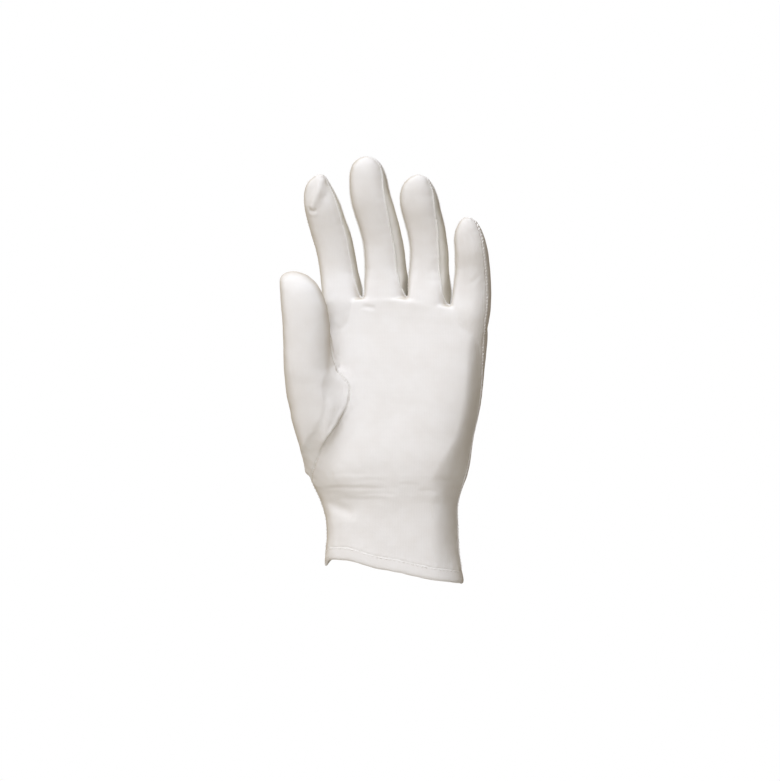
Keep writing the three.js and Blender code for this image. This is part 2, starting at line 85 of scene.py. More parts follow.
# Sections of each finger: z, x, half width, half depth. The last one is the fingertip.
FINGERS = {
    "index": (
        (112, -28, 7.4, 8.4), (132, -28.6, 10, 11.2), (145, -29.1, 11, 12.6), (152, -29.7, 11.1, 12.8),
        (160, -30.6, 10.7, 11.8), (171, -32.1, 10.5, 10.4), (182, -33.6, 10.6, 10), (192, -35.7, 10.8, 9.8),
        (201, -37.7, 10.5, 9.4), (208, -38.9, 9.9, 8.9), (213.5, -39.7, 8.7, 8), (218.3, -40, 6.7, 6.2),
        (222, -39.3, 4, 3.6), (224.2, -37.9, 0, 0),
    ),
    "middle": (
        (132, -4, 9.4, 8.6), (145, -3.8, 12.2, 12.8), (152, -4.3, 11.7, 13), (160, -4.3, 11.4, 12.2),
        (166, -4.1, 11.6, 11.3), (172, -4.4, 11.4, 10.8), (184, -4.8, 11.3, 10.4), (195, -6.3, 11.4, 10.2),
        (205, -8.4, 11.4, 9.9), (214, -10, 10.9, 9.6), (222.3, -10.7, 10.3, 9), (228.5, -11.1, 8.7, 7.6),
        (232.3, -11.3, 5.7, 4.8), (234.3, -11.3, 0, 0),
    ),
    "ring": (
        (132, 19.9, 9, 8.4), (145, 20.2, 11.6, 12.6), (152, 20.7, 11, 12.9), (160, 20.7, 10.9, 11.9),
        (166, 20.6, 11, 10.8), (171, 20.7, 10.9, 10.3), (181, 21.2, 10.7, 10), (190, 20.7, 10.8, 9.8),
        (199, 19.4, 10.9, 9.6), (207, 18.1, 10.9, 9.3), (213.5, 17.7, 10, 8.6), (218.4, 17.8, 8.1, 7),
        (222.1, 18.2, 5, 4.2), (223.9, 18.5, 0, 0),
    ),
    "little": (
        (124, 43, 7, 6.4), (138, 44, 10, 10.6), (147, 44.9, 10.6, 11.7), (154, 45.7, 10.4, 10.9),
        (163, 46.4, 10, 9.7), (172, 47.1, 9.5, 9.1), (180, 47.3, 9.2, 8.8), (187.5, 46.8, 8.7, 8.1),
        (193, 46.5, 7.2, 6.7), (197.3, 46.5, 4.7, 4.3), (200.1, 46, 0, 0),
    ),
}

# Sections of the thumb: z, x, y, half width, half depth
THUMB_ROWS = (
    (50, -39.5, -1, 4, 9), (54, -42.6, -1.6, 4.4, 9.6), (57.5, -46, -2.6, 4.9, 9.8),
    (62, -44.9, -3.8, 6.4, 11.2), (72, -43, -7.3, 9.4, 12.2), (81, -41.4, -9.8, 13, 13.2),
    (90, -40.2, -11.6, 15.9, 13.9), (99, -41.5, -13.4, 15.8, 13.9), (108, -43.1, -15.5, 14.8, 13.2),
    (116, -44.8, -17.6, 13.2, 12.4), (126, -45, -19.5, 12.9, 11.8), (137, -45.1, -21, 13.2, 11.5),
    (148, -45.7, -22.2, 13.1, 11.1), (156.5, -47, -22.9, 12, 10.4), (162.5, -48.7, -23.2, 10.8, 9),
    (167, -50.8, -23.2, 8.4, 6.6), (170.4, -52.1, -23.2, 0, 0),
)

# The aslant mouth: angle round it from +X towards +Y in degrees, height of its edge
MOUTH_EDGE = (
    (0, -4.8), (45, -1.8), (90, 4.2), (125, 8.6), (155, 9.6), (173, 7.2), (188, 4.9), (200, 7.2), (212, 8.5),
    (232, 8.6), (270, 2.9), (315, -3), (360, -4.8),
)
HEM_HEIGHT = 7.6
HEM_OVERLAP = 0.6  # the cuff's cloth comes down over the hem's top
MOUTH_LEVEL_FROM = 36.0

# Section outlines: 2 is an ellipse, more is boxier
WRIST_SQUARENESS, KNUCKLE_SQUARENESS = 2.3, 2.9
BOXIER_FROM, BOXIER_TO = 60.0, 140.0
FINGER_SQUARENESS = 2.3
ROOT_SQUARENESS, ROOT_TO, ROOT_FADES = 4.0, 152.0, 172.0
# The sides on which a finger's root is flatter: left and right
ROOT_SIDES = {"index": (0, 1), "middle": (1, 1), "ring": (1, 1), "little": (1, 0)}

# The fingers' bend towards the palm: height, how far they come forward for each millimetre of height
LEAN_ROWS = (
    (156, 0.02), (168, 0.09), (179, 0.18), (190, 0.3), (197, 0.385), (203, 0.39), (209, 0.3), (216, 0.25),
    (225, 0.2), (236, 0.15),
)
# Steps at which the bend is added up, and how far it goes on above the table
LEAN_STEP, LEAN_PAST = 0.5, 20
# Over this height below its tip a finger's palm side runs on straight by this share of what its depth loses,
# for all points within this reach of the tip's x
TIP_HEIGHT, TIP_FORWARD, TIP_REACH = 13.0, 0.52, 13.0
# The photograph looks at the glove from this many degrees round to the little finger's side
VIEW_ANGLE = 16.0
VIEW_SLANT = math.tan(math.radians(VIEW_ANGLE))
# The little finger, right of this x, bends over a stretch that starts lower and is shorter by this share
LITTLE_FROM_X, LITTLE_LEAN_START, LITTLE_LEAN_SHARE = 34.0, 146.0, 1.5

# The knuckle line's fall towards the little finger
KNUCKLE_DROP_PER_MM, KNUCKLE_DROP_FROM_X = 0.14, 6.0
KNUCKLE_DROP_START, KNUCKLE_DROP_END = 118.0, 150.0

# The side seam on the little finger's side: z, inner limit of x, how far it lies forward
SIDE_SEAM = (
    (-20, 20, -7), (60, 25, -7), (110, 35, -4), (130, 40, 0.5), (142, 44, 4.6), (160, 47, 4.6),
    (184, 47, 4.2), (197, 47, 1.4), (210, 47, 0),
)

# A strip's edges, in shares of a finger's half depth: distance below the tip, front right, front left, back
STRIP_EDGES = (
    (0, 0.1, 0.1, 0.1), (4, 0.2, 0.16, 0.18), (14, 0.52, 0.32, 0.42), (40, 0.76, 0.45, 0.6),
    (100, 0.76, 0.45, 0.6),
)
STRIP_FRONT_SHARE = {"index": 0.7}
STRIP_BELOW_CROTCH = 9.0
STRIP_AT_CROTCH = 0.22  # the strips narrow to this share of their width between the fingers
DOME_HEIGHT = 12.0
# Each strip: the fingers on its left and right, and the height of the crotch between them
STRIPS = (("index", "middle", 154.5), ("middle", "ring", 155.0), ("ring", "little", 150.0))

# The thumb's seam from the palm side (z, x) and, on a sheet turned about Z, from the side (z, y)
THUMB_SEAM_FRONT = (
    (55.4, -46.6), (71, -37), (84, -27), (94, -22), (101, -20.8), (107, -21.4), (111, -25), (115, -28.6),
    (120, -29), (152, -29), (186, -22),
)
THUMB_SEAM_SIDE = (
    (50, -16), (52.4, -11.3), (54, -7), (57, -3), (62, 0), (70, 1.6), (80, 2), (92, 0.3), (98, -2),
    (104, -5.2), (110, -9), (115, -12), (120, -13.9), (126, -14.8), (137, -15), (150, -15), (165, -15),
    (186, -16),
)
THUMB_SEAM_TURN = math.radians(70.0)
THUMB_SEAM_TURN_X = -35.0

# Where the cloth spans the clefts at the fingers' roots, on the palm side and the back: x, z
KNUCKLE_LINE = ((-30, 149), (-16, 149.5), (-4, 149.5), (9, 149), (21, 147.5), (33, 145.5), (44, 143.5))
KNUCKLE_DEPTHS = (-14.5, 11.5)
# The valley between the thumb's base and the palm: x, y, z
THUMB_VALLEY = (
    (-41.5, -13.5, 60), (-39, -13.5, 65), (-35, -15, 72), (-30, -16, 81), (-26.5, -16.5, 90), (-27, -16, 99),
    (-29, -15.5, 105),
)
# The place where the index finger grows out of the palm's rounded edge: x, y, z
INDEX_ROOT = ((-37, -10.5, 137), (-37.5, -10, 145))
# The bottom of the cleft beside the thumb, where the palm's cloth rises to it: x, y, z
THUMB_CLEFT = (
    (-33.2, -15.5, 112), (-33.4, -15.2, 119), (-33.6, -14.8, 127), (-33.6, -14.4, 134),
)

# Where the palm turns to the little finger's side, as the photograph sees it: height, place to the right,
# how steeply it turns away, how softly
CORNER_ROWS = (
    (0, 30.5, 0.8, 8), (8, 29.5, 0.9, 8), (20, 27.5, 1.2, 7), (31, 27.5, 1.3, 6), (42, 27, 1.4, 6),
    (53, 27, 1.4, 8), (64.5, 32, 1.6, 6), (76, 37.5, 1.9, 4), (87, 40.8, 2, 4), (98, 41.8, 1.9, 3),
    (109, 42.6, 1.7, 3), (132, 44, 1.1, 3), (146, 45.5, 0.4, 3), (152, 46.5, 0, 3),
)
# Dents of the hand as the photograph sees them: place to the right, height, half width, half height, depth
HOLLOWS = ((-33, 39, 14, 9, 3.2), (-41, 47, 9, 9, 4.2))
# Soft dents of loose cloth: depth, pitch, shift of the noise
BROAD_DENTS = ((0.5, 30.0, 3.1), (0.22, 11.0, 17.4))
FINE_DENTS = (0.07, 4.5, 41.7)

CLOTH = 1.2
VOXEL = 0.81


class Seen(Enum):
    """The direction a crease was drawn from, as degrees round the glove from straight in front."""

    PALM = VIEW_ANGLE
    BACK = 180.0


class Line(IntFlag):
    """The seam lines a point of the skin can lie on."""

    NONE = 0
    HEM = 1
    THUMB = 2
    STRIP = 4
    SIDE = 8


def smoothstep(at: np.ndarray, start: float, end: float) -> np.ndarray:
    """Eases from 0 at start to 1 at end."""
    share = np.clip((at - start) / (end - start), 0.0, 1.0)
    return share * share * (3 - 2 * share)


def eased(at: np.ndarray, knots: np.ndarray, values: np.ndarray) -> np.ndarray:
    """Reads a smooth curve through points that it never overshoots.

    Args:
        at: places to read the curve at.
        knots: rising places of the given values.
        values: the curve's values at the knots.

    Returns:
        The curve's values at the wanted places.
    """
    steps = np.diff(knots)
    slopes = np.diff(values) / steps
    both = slopes[:-1] * slopes[1:]
    total = slopes[:-1] + slopes[1:]
    inner = np.where(both > 0, 2 * both / np.where(total == 0, 1, total), 0.0)
    tangents = np.concatenate([slopes[:1], inner, slopes[-1:]])
    i = np.clip(np.searchsorted(knots, at) - 1, 0, len(steps) - 1)
    t = np.clip((at - knots[i]) / steps[i], 0.0, 1.0)
    return (
        values[i] * (1 + 2 * t) * (1 - t) ** 2
        + values[i + 1] * (3 - 2 * t) * t**2
        + steps[i] * t * (1 - t) * (tangents[i] * (1 - t) - tangents[i + 1] * t)
    )


def column(rows: tuple, index: int, at: np.ndarray) -> np.ndarray:
    """Linear reading of one column of a table by its first column."""
    table = np.array(rows, float)
    return np.interp(at, table[:, 0], table[:, index])


def bend(z: np.ndarray, x: np.ndarray) -> np.ndarray:
    """How far the fingers have come forward, as a y.

    Args:
        z: heights.
        x: places across, which tell the little finger from the others.

    Returns:
        The y of a finger's middle at each place.
    """
    rows = np.array(LEAN_ROWS, float)
    start = rows[0, 0]
    heights = np.arange(start, rows[-1, 0] + LEAN_PAST, LEAN_STEP)
    lean = np.interp(heights, rows[:, 0], rows[:, 1])
    reach = np.concatenate([[0.0], np.cumsum((lean[1:] + lean[:-1]) / 2 * LEAN_STEP)])
    sooner = start + (z - LITTLE_LEAN_START) * LITTLE_LEAN_SHARE
    little = np.interp(sooner, heights, reach) / LITTLE_LEAN_SHARE
    return -np.where(x > LITTLE_FROM_X, little, np.interp(z, heights, reach)) - tip_forward(z, x)


def tip_forward(z: np.ndarray, x: np.ndarray) -> np.ndarray:
    """How much further forward the middle of a fingertip lies.

    Args:
        z: heights.
        x: places across.

    Returns:
        The shift at each place, 0 below the fingertips.
    """
    shift = np.zeros_like(z)
    for rows in FINGERS.values():
        tip, place = rows[-1][:2]
        loss = half_size(rows, 3, np.full(1, tip - TIP_HEIGHT)) - half_size(rows, 3, np.minimum(z, tip))
        own = (np.abs(x - place) < TIP_REACH) & (z > tip - TIP_HEIGHT)
        shift = np.where(own, TIP_FORWARD * np.maximum(loss, 0.0), shift)
    return shift


def half_size(rows: tuple, index: int, z: np.ndarray) -> np.ndarray:
    """A half width or half depth at given heights, round where it ends in a tip."""
    table = np.array(rows, float)
    return np.sqrt(np.maximum(eased(z, table[:, 0], table[:, index] ** 2), 0.0))


def modelled(x: np.ndarray, y: np.ndarray, z: np.ndarray, front: np.ndarray) -> tuple[np.ndarray, np.ndarray]:
    """Turns the palm towards the little finger's side and dents the wrist.

    Args:
        x: places across the hand.
        y: places through the hand.
        z: heights.
        front: how far each point lies forward in its section, from 0 at the back to 1 at the palm.

    Returns:
        The changed x and y, moved straight away from the photograph's viewer.
    """
    right, towards = facing(Seen.PALM.value)
    across = x * right[0] + y * right[1]
    place, slope, soft = (column(CORNER_ROWS, k, z) for k in (1, 2, 3))
    past = across - place
    ramp = np.where(past > soft, past, np.clip(past + soft, 0, None) ** 2 / (4 * soft))
    moved = slope * ramp
    for at_across, at_z, wide, high, depth in HOLLOWS:
        moved = moved + depth * np.exp(-(((across - at_across) / wide) ** 2) - ((z - at_z) / high) ** 2)
    moved = moved * front
    return x - towards[0] * moved, y - towards[1] * moved


def mouth_edge(angle: np.ndarray) -> np.ndarray:
    """Height of the mouth's edge at an angle in radians, from +X towards +Y."""
    table = np.array(MOUTH_EDGE, float)
    return eased(np.degrees(angle) % 360.0, table[:, 0], table[:, 1])


def facing(azimuth: float) -> tuple[np.ndarray, np.ndarray]:
    """Directions to the right of and towards someone who looks at the glove.

    Args:
        azimuth: degrees round the glove from straight in front of the palm.

    Returns:
        The unit vector to the right and the one towards the viewer.
    """
    a = math.radians(azimuth)
    right = np.array([math.cos(a), math.sin(a), 0.0])
    towards = np.array([math.sin(a), -math.cos(a), 0.0])
    return right, towards


def unit(vectors: np.ndarray) -> np.ndarray:
    """The same directions, each of length 1."""
    return vectors / np.maximum(np.linalg.norm(vectors, axis=-1, keepdims=True), 1e-12)


def vertex_normals(points: np.ndarray, faces: np.ndarray) -> np.ndarray:
    """Outward directions at the points of a triangle mesh.

    Args:
        points: the mesh's points.
        faces: point numbers, three to a face.

    Returns:
        One unit vector for each point.
    """
    a, b, c = (points[faces[:, k]] for k in range(3))
    square = np.cross(b - a, c - a)
    total = np.zeros_like(points)
    for k in range(3):
        for axis in range(3):
            total[:, axis] += np.bincount(faces[:, k], square[:, axis], len(points))
    return unit(total)


def edge_table(faces: np.ndarray) -> tuple[np.ndarray, np.ndarray]:
    """Lists the edges of a triangle mesh once each.

    Args:
        faces: point numbers, three to a face.

    Returns:
        The edges as pairs of points, and for each face the numbers of its three edges.
    """
    pairs = np.stack([faces, np.roll(faces, -1, axis=1)], axis=2).reshape(-1, 2)
    pairs.sort(axis=1)
    count = int(faces.max()) + 1
    keys, inverse = np.unique(pairs[:, 0] * count + pairs[:, 1], return_inverse=True)
    return np.stack([keys // count, keys % count], axis=1), inverse.reshape(-1, 3)


def averaged(values: np.ndarray, edges: np.ndarray) -> np.ndarray:
    """Mean of the neighbours' values at each point of a mesh.

    Args:
        values: one row for each point.
        edges: the mesh's edges as pairs of points.

    Returns:
        One row of means for each point.
    """
    a, b = edges.T
    count = len(values)
    ends = np.concatenate([a, b])
    others = np.concatenate([b, a])
    many = np.maximum(np.bincount(ends, minlength=count), 1)
    sums = [np.bincount(ends, values[others, k], count) for k in range(values.shape[1])]
    return np.stack(sums, axis=1) / many[:, None]


def cloth_noise(points: np.ndarray, pitch: float, shift: float) -> np.ndarray:
    """Soft random values, from -1 to 1, that vary over about a pitch."""
    scaled = points / pitch + shift
    return np.fromiter((noise.noise(Vector(p)) for p in scaled), float, len(points))


def dented(points: np.ndarray, dents: tuple) -> np.ndarray:
    """How far soft dents, given as rows of depth, pitch and shift, move each point."""
    return sum(depth * cloth_noise(points, pitch, shift) for depth, pitch, shift in dents)


def lengths(points: np.ndarray) -> np.ndarray:
    """How far along a run of points each of them lies."""
    return np.concatenate([[0.0], np.cumsum(np.linalg.norm(np.diff(points, axis=0), axis=1))])


def read_along(at: np.ndarray, run: np.ndarray, rows: np.ndarray) -> np.ndarray:
    """Linear reading, at some places along a run, of the points or directions given along it."""
    return np.stack([np.interp(at, run, rows[:, k]) for k in range(3)], axis=1)


def signed_power(value: np.ndarray, power: float | np.ndarray) -> np.ndarray:
    """The power of a value's size, with the value's sign."""
    return np.sign(value) * np.abs(value) ** power


def round_angles(sides: int, shift: float = 0.0, more: int = 0) -> np.ndarray:
    """Angles round a circle in even steps, from a share of a step on, with some more past a full turn."""
    return 2 * math.pi * (np.arange(sides + more) + shift) / sides


def circles(first: np.ndarray, second: np.ndarray, sides: int) -> np.ndarray:
    """Rings of directions, one ring in each plane of two directions."""
    angle = round_angles(sides)[None, :, None]
    return first[:, None] * np.cos(angle) + second[:, None] * np.sin(angle)


def tube_faces(rings: int, sides: int, turned: bool) -> np.ndarray:
    """Triangles of an open tube.

    Args:
        rings: how many rings of points it has.
        sides: points in each ring.
        turned: whether the rings run the other way round.

    Returns:
        Three point numbers for each.
    """
    base = np.arange(rings - 1)[:, None] * sides
    a, b = np.arange(sides), (np.arange(sides) + 1) % sides
    if turned:
        a, b = b, a
    quads = np.stack([base + a, base + b, base + sides + b, base + sides + a], axis=2).reshape(-1, 4)
    return np.concatenate([quads[:, [0, 1, 2]], quads[:, [0, 2, 3]]])


def linked(name: str, data: bpy.types.ID) -> bpy.types.Object:
    """Makes an object and puts it into the scene.

    Args:
        name: its name.
        data: its mesh, camera or light.

    Returns:
        The new object.
    """
    made = bpy.data.objects.new(name, data)
    bpy.context.scene.collection.objects.link(made)
    return made


def merged(parts: list) -> tuple[np.ndarray, list]:
    """Several sets of points and faces as one.

    Args:
        parts: pairs of points and faces.

    Returns:
        All the points, and the faces renumbered for them.
    """
    points, faces, start = [], [], 0
    for some, own in parts:
        points.append(some)
        faces += [[start + i for i in face] for face in own]
        start += len(some)
    return np.concatenate(points), faces


def shown(
    name: str, points: np.ndarray, faces: list, material: bpy.types.Material
) -> bpy.types.Object:
    """Makes a piece of the glove from points in millimetres.

    Args:
        name: the piece's name.
        points: its points.
        faces: its faces as lists of point numbers.
        material: the finish.

    Returns:
        The new object, riding on the glove's one body.
    """
    mesh = bpy.data.meshes.new(name)
    mesh.from_pydata((points * MM).tolist(), [], faces)
    mesh.update()
    mesh.shade_smooth()
    mesh.materials.append(material)
    made = linked(name, mesh)
    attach(made, BODY)
    return made


@dataclass
class Skin:
    """A surface of cloth as triangles, with values that ride along when it is cut."""

    points: np.ndarray
    faces: np.ndarray
    outward: np.ndarray
    marks: np.ndarray
    extra: dict[str, np.ndarray] = field(default_factory=dict)

    SNAP = 0.24

    def cut(self, values: np.ndarray, mark: Line) -> np.ndarray:
        """Divides the faces so that none crosses the line where the values are zero.

        Args:
            values: one number for each point, which changes sign across the line.
            mark: the seam line that points on it are marked with.

        Returns:
            The values at all the points there are now.
        """
        values = values.copy()
        edges, of_face = edge_table(self.faces)
        self._snap(values, edges)
        a, b = edges.T
        crossed = values[a] * values[b] < 0
        a, b = a[crossed], b[crossed]
        share = (values[a] / (values[a] - values[b]))[:, None]
        self.marks[values == 0] |= int(mark)
        made = np.full(len(edges), -1)
        made[crossed] = len(self.points) + np.arange(len(a))
        self.marks = np.concatenate([self.marks, (self.marks[a] & self.marks[b]) | int(mark)])
        for name, held in self.extra.items():
            self.extra[name] = np.concatenate([held, held[a] + share[:, 0] * (held[b] - held[a])])
        place, out = (held[a] + share * (held[b] - held[a]) for held in (self.points, self.outward))
        self.points = np.concatenate([self.points, place])
        self.outward = np.concatenate([self.outward, unit(out)])
        self._divide(made[of_face])
        return np.concatenate([values, np.zeros(len(a))])

    def _snap(self, values: np.ndarray, edges: np.ndarray) -> None:
        """Moves points that lie very near the zero line onto it.

        Args:
            values: one number for each point, changed in place.
            edges: the surface's edges.
        """
        a, b = edges.T
        crossed = values[a] * values[b] < 0
        a, b = a[crossed], b[crossed]
        share = values[a] / (values[a] - values[b])
        point, other = np.concatenate([a, b]), np.concatenate([b, a])
        near = np.concatenate([share, 1 - share])
        chosen = (near < self.SNAP) & (self.marks[point] == 0)
        order = np.argsort(-near[chosen])
        point, other, near = (v[chosen][order] for v in (point, other, near))
        self.points[point] += near[:, None] * (self.points[other] - self.points[point])
        for held in self.extra.values():
            held[point] += near * (held[other] - held[point])
        values[point] = 0.0

    def _divide(self, made: np.ndarray) -> None:
        """Replaces the faces that have new points on their edges.

        Args:
            made: for each face the new points on its three edges, or -1.
        """
        count = (made >= 0).sum(axis=1)
        parts = [self.faces[count == 0]]
        one, on = self.faces[count == 1], made[count == 1]
        turn = (on >= 0).argmax(axis=1)
        rows = np.arange(len(one))
        a, b, c = (one[rows, (turn + k) % 3] for k in range(3))
        m = on[rows, turn]
        parts += [np.stack([a, m, c], 1), np.stack([m, b, c], 1)]
        two, on = self.faces[count == 2], made[count == 2]
        turn = (on < 0).argmax(axis=1)
        rows = np.arange(len(two))
        a, b, c = (two[rows, (turn + k) % 3] for k in range(3))
        m, n = on[rows, (turn + 1) % 3], on[rows, (turn + 2) % 3]
        parts.append(np.stack([m, c, n], 1))
        # the four-sided rest is divided along its shorter diagonal
        first = np.linalg.norm(self.points[a] - self.points[m], axis=1)
        second = np.linalg.norm(self.points[b] - self.points[n], axis=1)
        flip = second < first
        parts.append(np.stack([a, b, np.where(flip, n, m)], 1))
        parts.append(np.stack([np.where(flip, b, a), m, n], 1))
        self.faces = np.concatenate(parts)

    def part(self, keep: np.ndarray) -> "Skin":
        """The faces of a choice as a surface of its own.

        Args:
            keep: which faces to take.

        Returns:
            The new surface.
        """
        faces = self.faces[keep]
        used = np.unique(faces)
        renumber = np.full(len(self.points), -1)
        renumber[used] = np.arange(len(used))
        extra = {name: held[used] for name, held in self.extra.items()}
        return Skin(self.points[used], renumber[faces], self.outward[used], self.marks[used], extra)

    def split(self, values: np.ndarray, mark: Line) -> tuple["Skin", "Skin"]:
        """Cuts the surface in two along a line.

        Args:
            values: one number for each point, positive on the first part.
            mark: the seam line between the parts.

        Returns:
            The part with positive values and the other part.
        """
        inside = self.cut(values, mark)[self.faces].sum(axis=1) > 0
        return self.part(inside), self.part(~inside)

    def largest(self) -> "Skin":
        """The surface without crumbs that hang together with nothing else.

        Returns:
            The largest of the surface's separate parts.
        """
        label = np.arange(len(self.points))
        while True:
            low = label[self.faces].min(axis=1)
            after = label.copy()
            for k in range(3):
                np.minimum.at(after, self.faces[:, k], low)
            after = after[after]
            if (after == label).all():
                break
            label = after
        own = label[self.faces[:, 0]]
        kept = np.bincount(own).argmax()
        return self.part(own == kept)

    def border(self, mark: Line) -> list[np.ndarray]:
        """Follows the surface's edge along one kind of seam.

        Args:
            mark: the seam line to follow, or Line.NONE for the whole edge.

        Returns:
            Runs of point numbers in order; a closed run ends with its first point.
        """
        directed = np.stack([self.faces, np.roll(self.faces, -1, axis=1)], axis=2).reshape(-1, 2)
        count = len(self.points)
        keys = directed[:, 0] * count + directed[:, 1]
        back = directed[:, 1] * count + directed[:, 0]
        open_edges = directed[~np.isin(keys, back)]
        wanted = (self.marks[open_edges] & int(mark) == int(mark)).all(axis=1)
        following: dict[int, list[int]] = {}
        for start, end in open_edges[wanted].tolist():
            following.setdefault(start, []).append(end)
        ends = {e for row in following.values() for e in row}
        runs = []
        starts = [s for s in following if s not in ends] + list(following)
        for start in starts:
            run = [start]
            while following.get(run[-1]):
                run.append(following[run[-1]].pop())
                if run[-1] == start:
                    break
            if len(run) > 1:
                runs.append(np.array(run))
        return runs


@dataclass
class Crease:
    """A valley in the cloth, or a ridge where its depth is negative."""

    seen: Seen
    path: tuple
    depth: float
    width: float
    # how much of its depth the cloth beside it rises; a broad fold has none and fades out slowly at its ends
    shoulder: float = 0.35

    STEP = 0.8
    # how far it reaches, where its shoulders are highest and how wide they are, in widths of the crease
    REACH, SHOULDER_AT, SHOULDER_WIDTH = 4.5, 2.1, 1.1
    # powers that shape how it fades out at its ends, the second one for a broad fold
    FADE, BROAD_FADE = 0.5, 1.5
    VIEWED_FROM = 200.0

    def laid(self, surface: BVHTree) -> np.ndarray:
        """The path's points on the surface, as seen from its own side.

        Args:
            surface: the surface to lay it on.

        Returns:
            The points, without those that miss the surface.
        """
        right, towards = facing(self.seen.value)
        drawn = np.array(self.path, float)
        run = lengths(drawn)
        at = np.linspace(0, run[-1], max(int(run[-1] / self.STEP), 3))
        across, up = (eased(at, run, drawn[:, k]) for k in range(2))
        found = []
        for u, z in zip(across, up):
            origin = u * right + self.VIEWED_FROM * towards + np.array([0.0, 0.0, z])
            hit = surface.ray_cast(Vector(origin), Vector(-towards))[0]
            if hit is not None:
                found.append(hit)
        return np.array(found).reshape(-1, 3)

    def pressed(self, points: np.ndarray, path: np.ndarray) -> np.ndarray:
        """How far the crease moves each point outwards.

        Args:
            points: points of the surface.
            path: the crease's own points on it.

        Returns:
            One distance for each point, negative in a valley.
        """
        moved = np.zeros(len(points))
        if len(path) < 2:
            return moved
        reach = self.REACH * self.width
        low, high = path.min(axis=0) - reach, path.max(axis=0) + reach
        near = np.flatnonzero(((points > low) & (points < high)).all(axis=1))
        gaps = np.linalg.norm(points[near, None] - path[None], axis=2)
        nearest = gaps.argmin(axis=1)
        away = gaps[np.arange(len(near)), nearest] / self.width
        place = nearest / (len(path) - 1)
        fade = np.clip(np.sin(math.pi * place), 0.0, 1.0) ** (self.FADE if self.shoulder else self.BROAD_FADE)
        beside = self.shoulder * np.exp(-(((away - self.SHOULDER_AT) / self.SHOULDER_WIDTH) ** 2))
        moved[near] = -self.depth * (np.exp(-(away**2)) - beside) * fade
        return moved


# Paths of the broad folds at the thumb's foot: millimetres to the right and up, as seen from the palm's side
THUMB_FOOT = (
    ((-34, 107), (-34.4, 100), (-35.8, 92), (-38, 84), (-41.4, 76), (-46, 67)),
    ((-29.6, 106), (-30.4, 98), (-31.6, 92), (-34.2, 84.5), (-38.4, 77), (-43, 70)),
)
THUMB_FLANGE = ((-27.2, 104), (-27.7, 99), (-28.4, 94), (-31, 88.6), (-34, 83), (-39.6, 75), (-45, 66))
# Creases of the worn cloth: side, path as above, depth, width, shoulder
CREASES = (
    # the wrist's fine folds
    Crease(Seen.PALM, ((-40, 48.6), (-30, 49.2), (-18, 49.0), (-6, 48.4)), 0.16, 0.9),
    Crease(Seen.PALM, ((2, 50.6), (8, 50.9), (14, 50.2)), 0.11, 0.9),
    Crease(Seen.PALM, ((12, 47.0), (20, 47.2), (26, 46.6)), 0.11, 0.9),
    Crease(Seen.PALM, ((-24, 52.6), (-14, 53.4), (-4, 53.0)), 0.1, 0.9),
    Crease(Seen.PALM, ((-20, 45.4), (-10, 45.9), (2, 45.2)), 0.1, 0.9),
    Crease(Seen.PALM, ((-38, 56.0), (-28, 57.2), (-16, 56.6)), 0.1, 1.4),
    Crease(Seen.PALM, ((-34, 42.4), (-22, 42.8), (-4, 42.0)), 0.14, 1.6),
    Crease(Seen.PALM, ((22, 53.6), (32, 53.8), (40, 53.2)), 0.16, 1.4),
    # the fold that closes the wrist's dent below
    Crease(Seen.PALM, ((-37, 40.2), (-31, 37.6), (-23, 34.0)), 0.4, 2.4),
    Crease(Seen.PALM, ((-37, 35.0), (-29, 32.6), (-20, 30.0)), -0.2, 3.0),
    # the small fold at the middle finger's root
    Crease(Seen.PALM, ((-18.4, 150.6), (-14.6, 150.2), (-10.2, 149.4)), 0.35, 1.0),
    # the pinched tip of the index finger
    Crease(Seen.PALM, ((-40.6, 222.6), (-41.6, 217), (-43.6, 211), (-46.2, 204.4)), -1.0, 2.2),
    Crease(Seen.PALM, ((-47.8, 204.8), (-45.6, 204.0), (-43.2, 205.0)), 0.6, 1.1),
    # the small fold over the little finger
    Crease(Seen.PALM, ((42.6, 162.8), (45.4, 165.4), (48.4, 168.2)), 0.2, 1.2),
    # the full cloth at the foot of the thumb
    Crease(Seen.PALM, THUMB_FOOT[0], -2.2, 3.6, 0),
    Crease(Seen.PALM, THUMB_FOOT[1], -1.4, 2.8, 0),
    # the flange of the thumb's seam
    Crease(Seen.PALM, THUMB_FLANGE, -1.0, 1.7, 0),
    # the wrist's folds at the back
    Crease(Seen.BACK, ((-36, 48.6), (-18, 49.4), (4, 48.8), (22, 49.6), (38, 48.4)), 0.6, 1.8),
    Crease(Seen.BACK, ((-30, 55.6), (-14, 57.0), (2, 56.2)), 0.3, 2.0),
    Crease(Seen.BACK, ((-8, 41.8), (8, 42.6), (26, 41.6)), 0.3, 2.0),
)


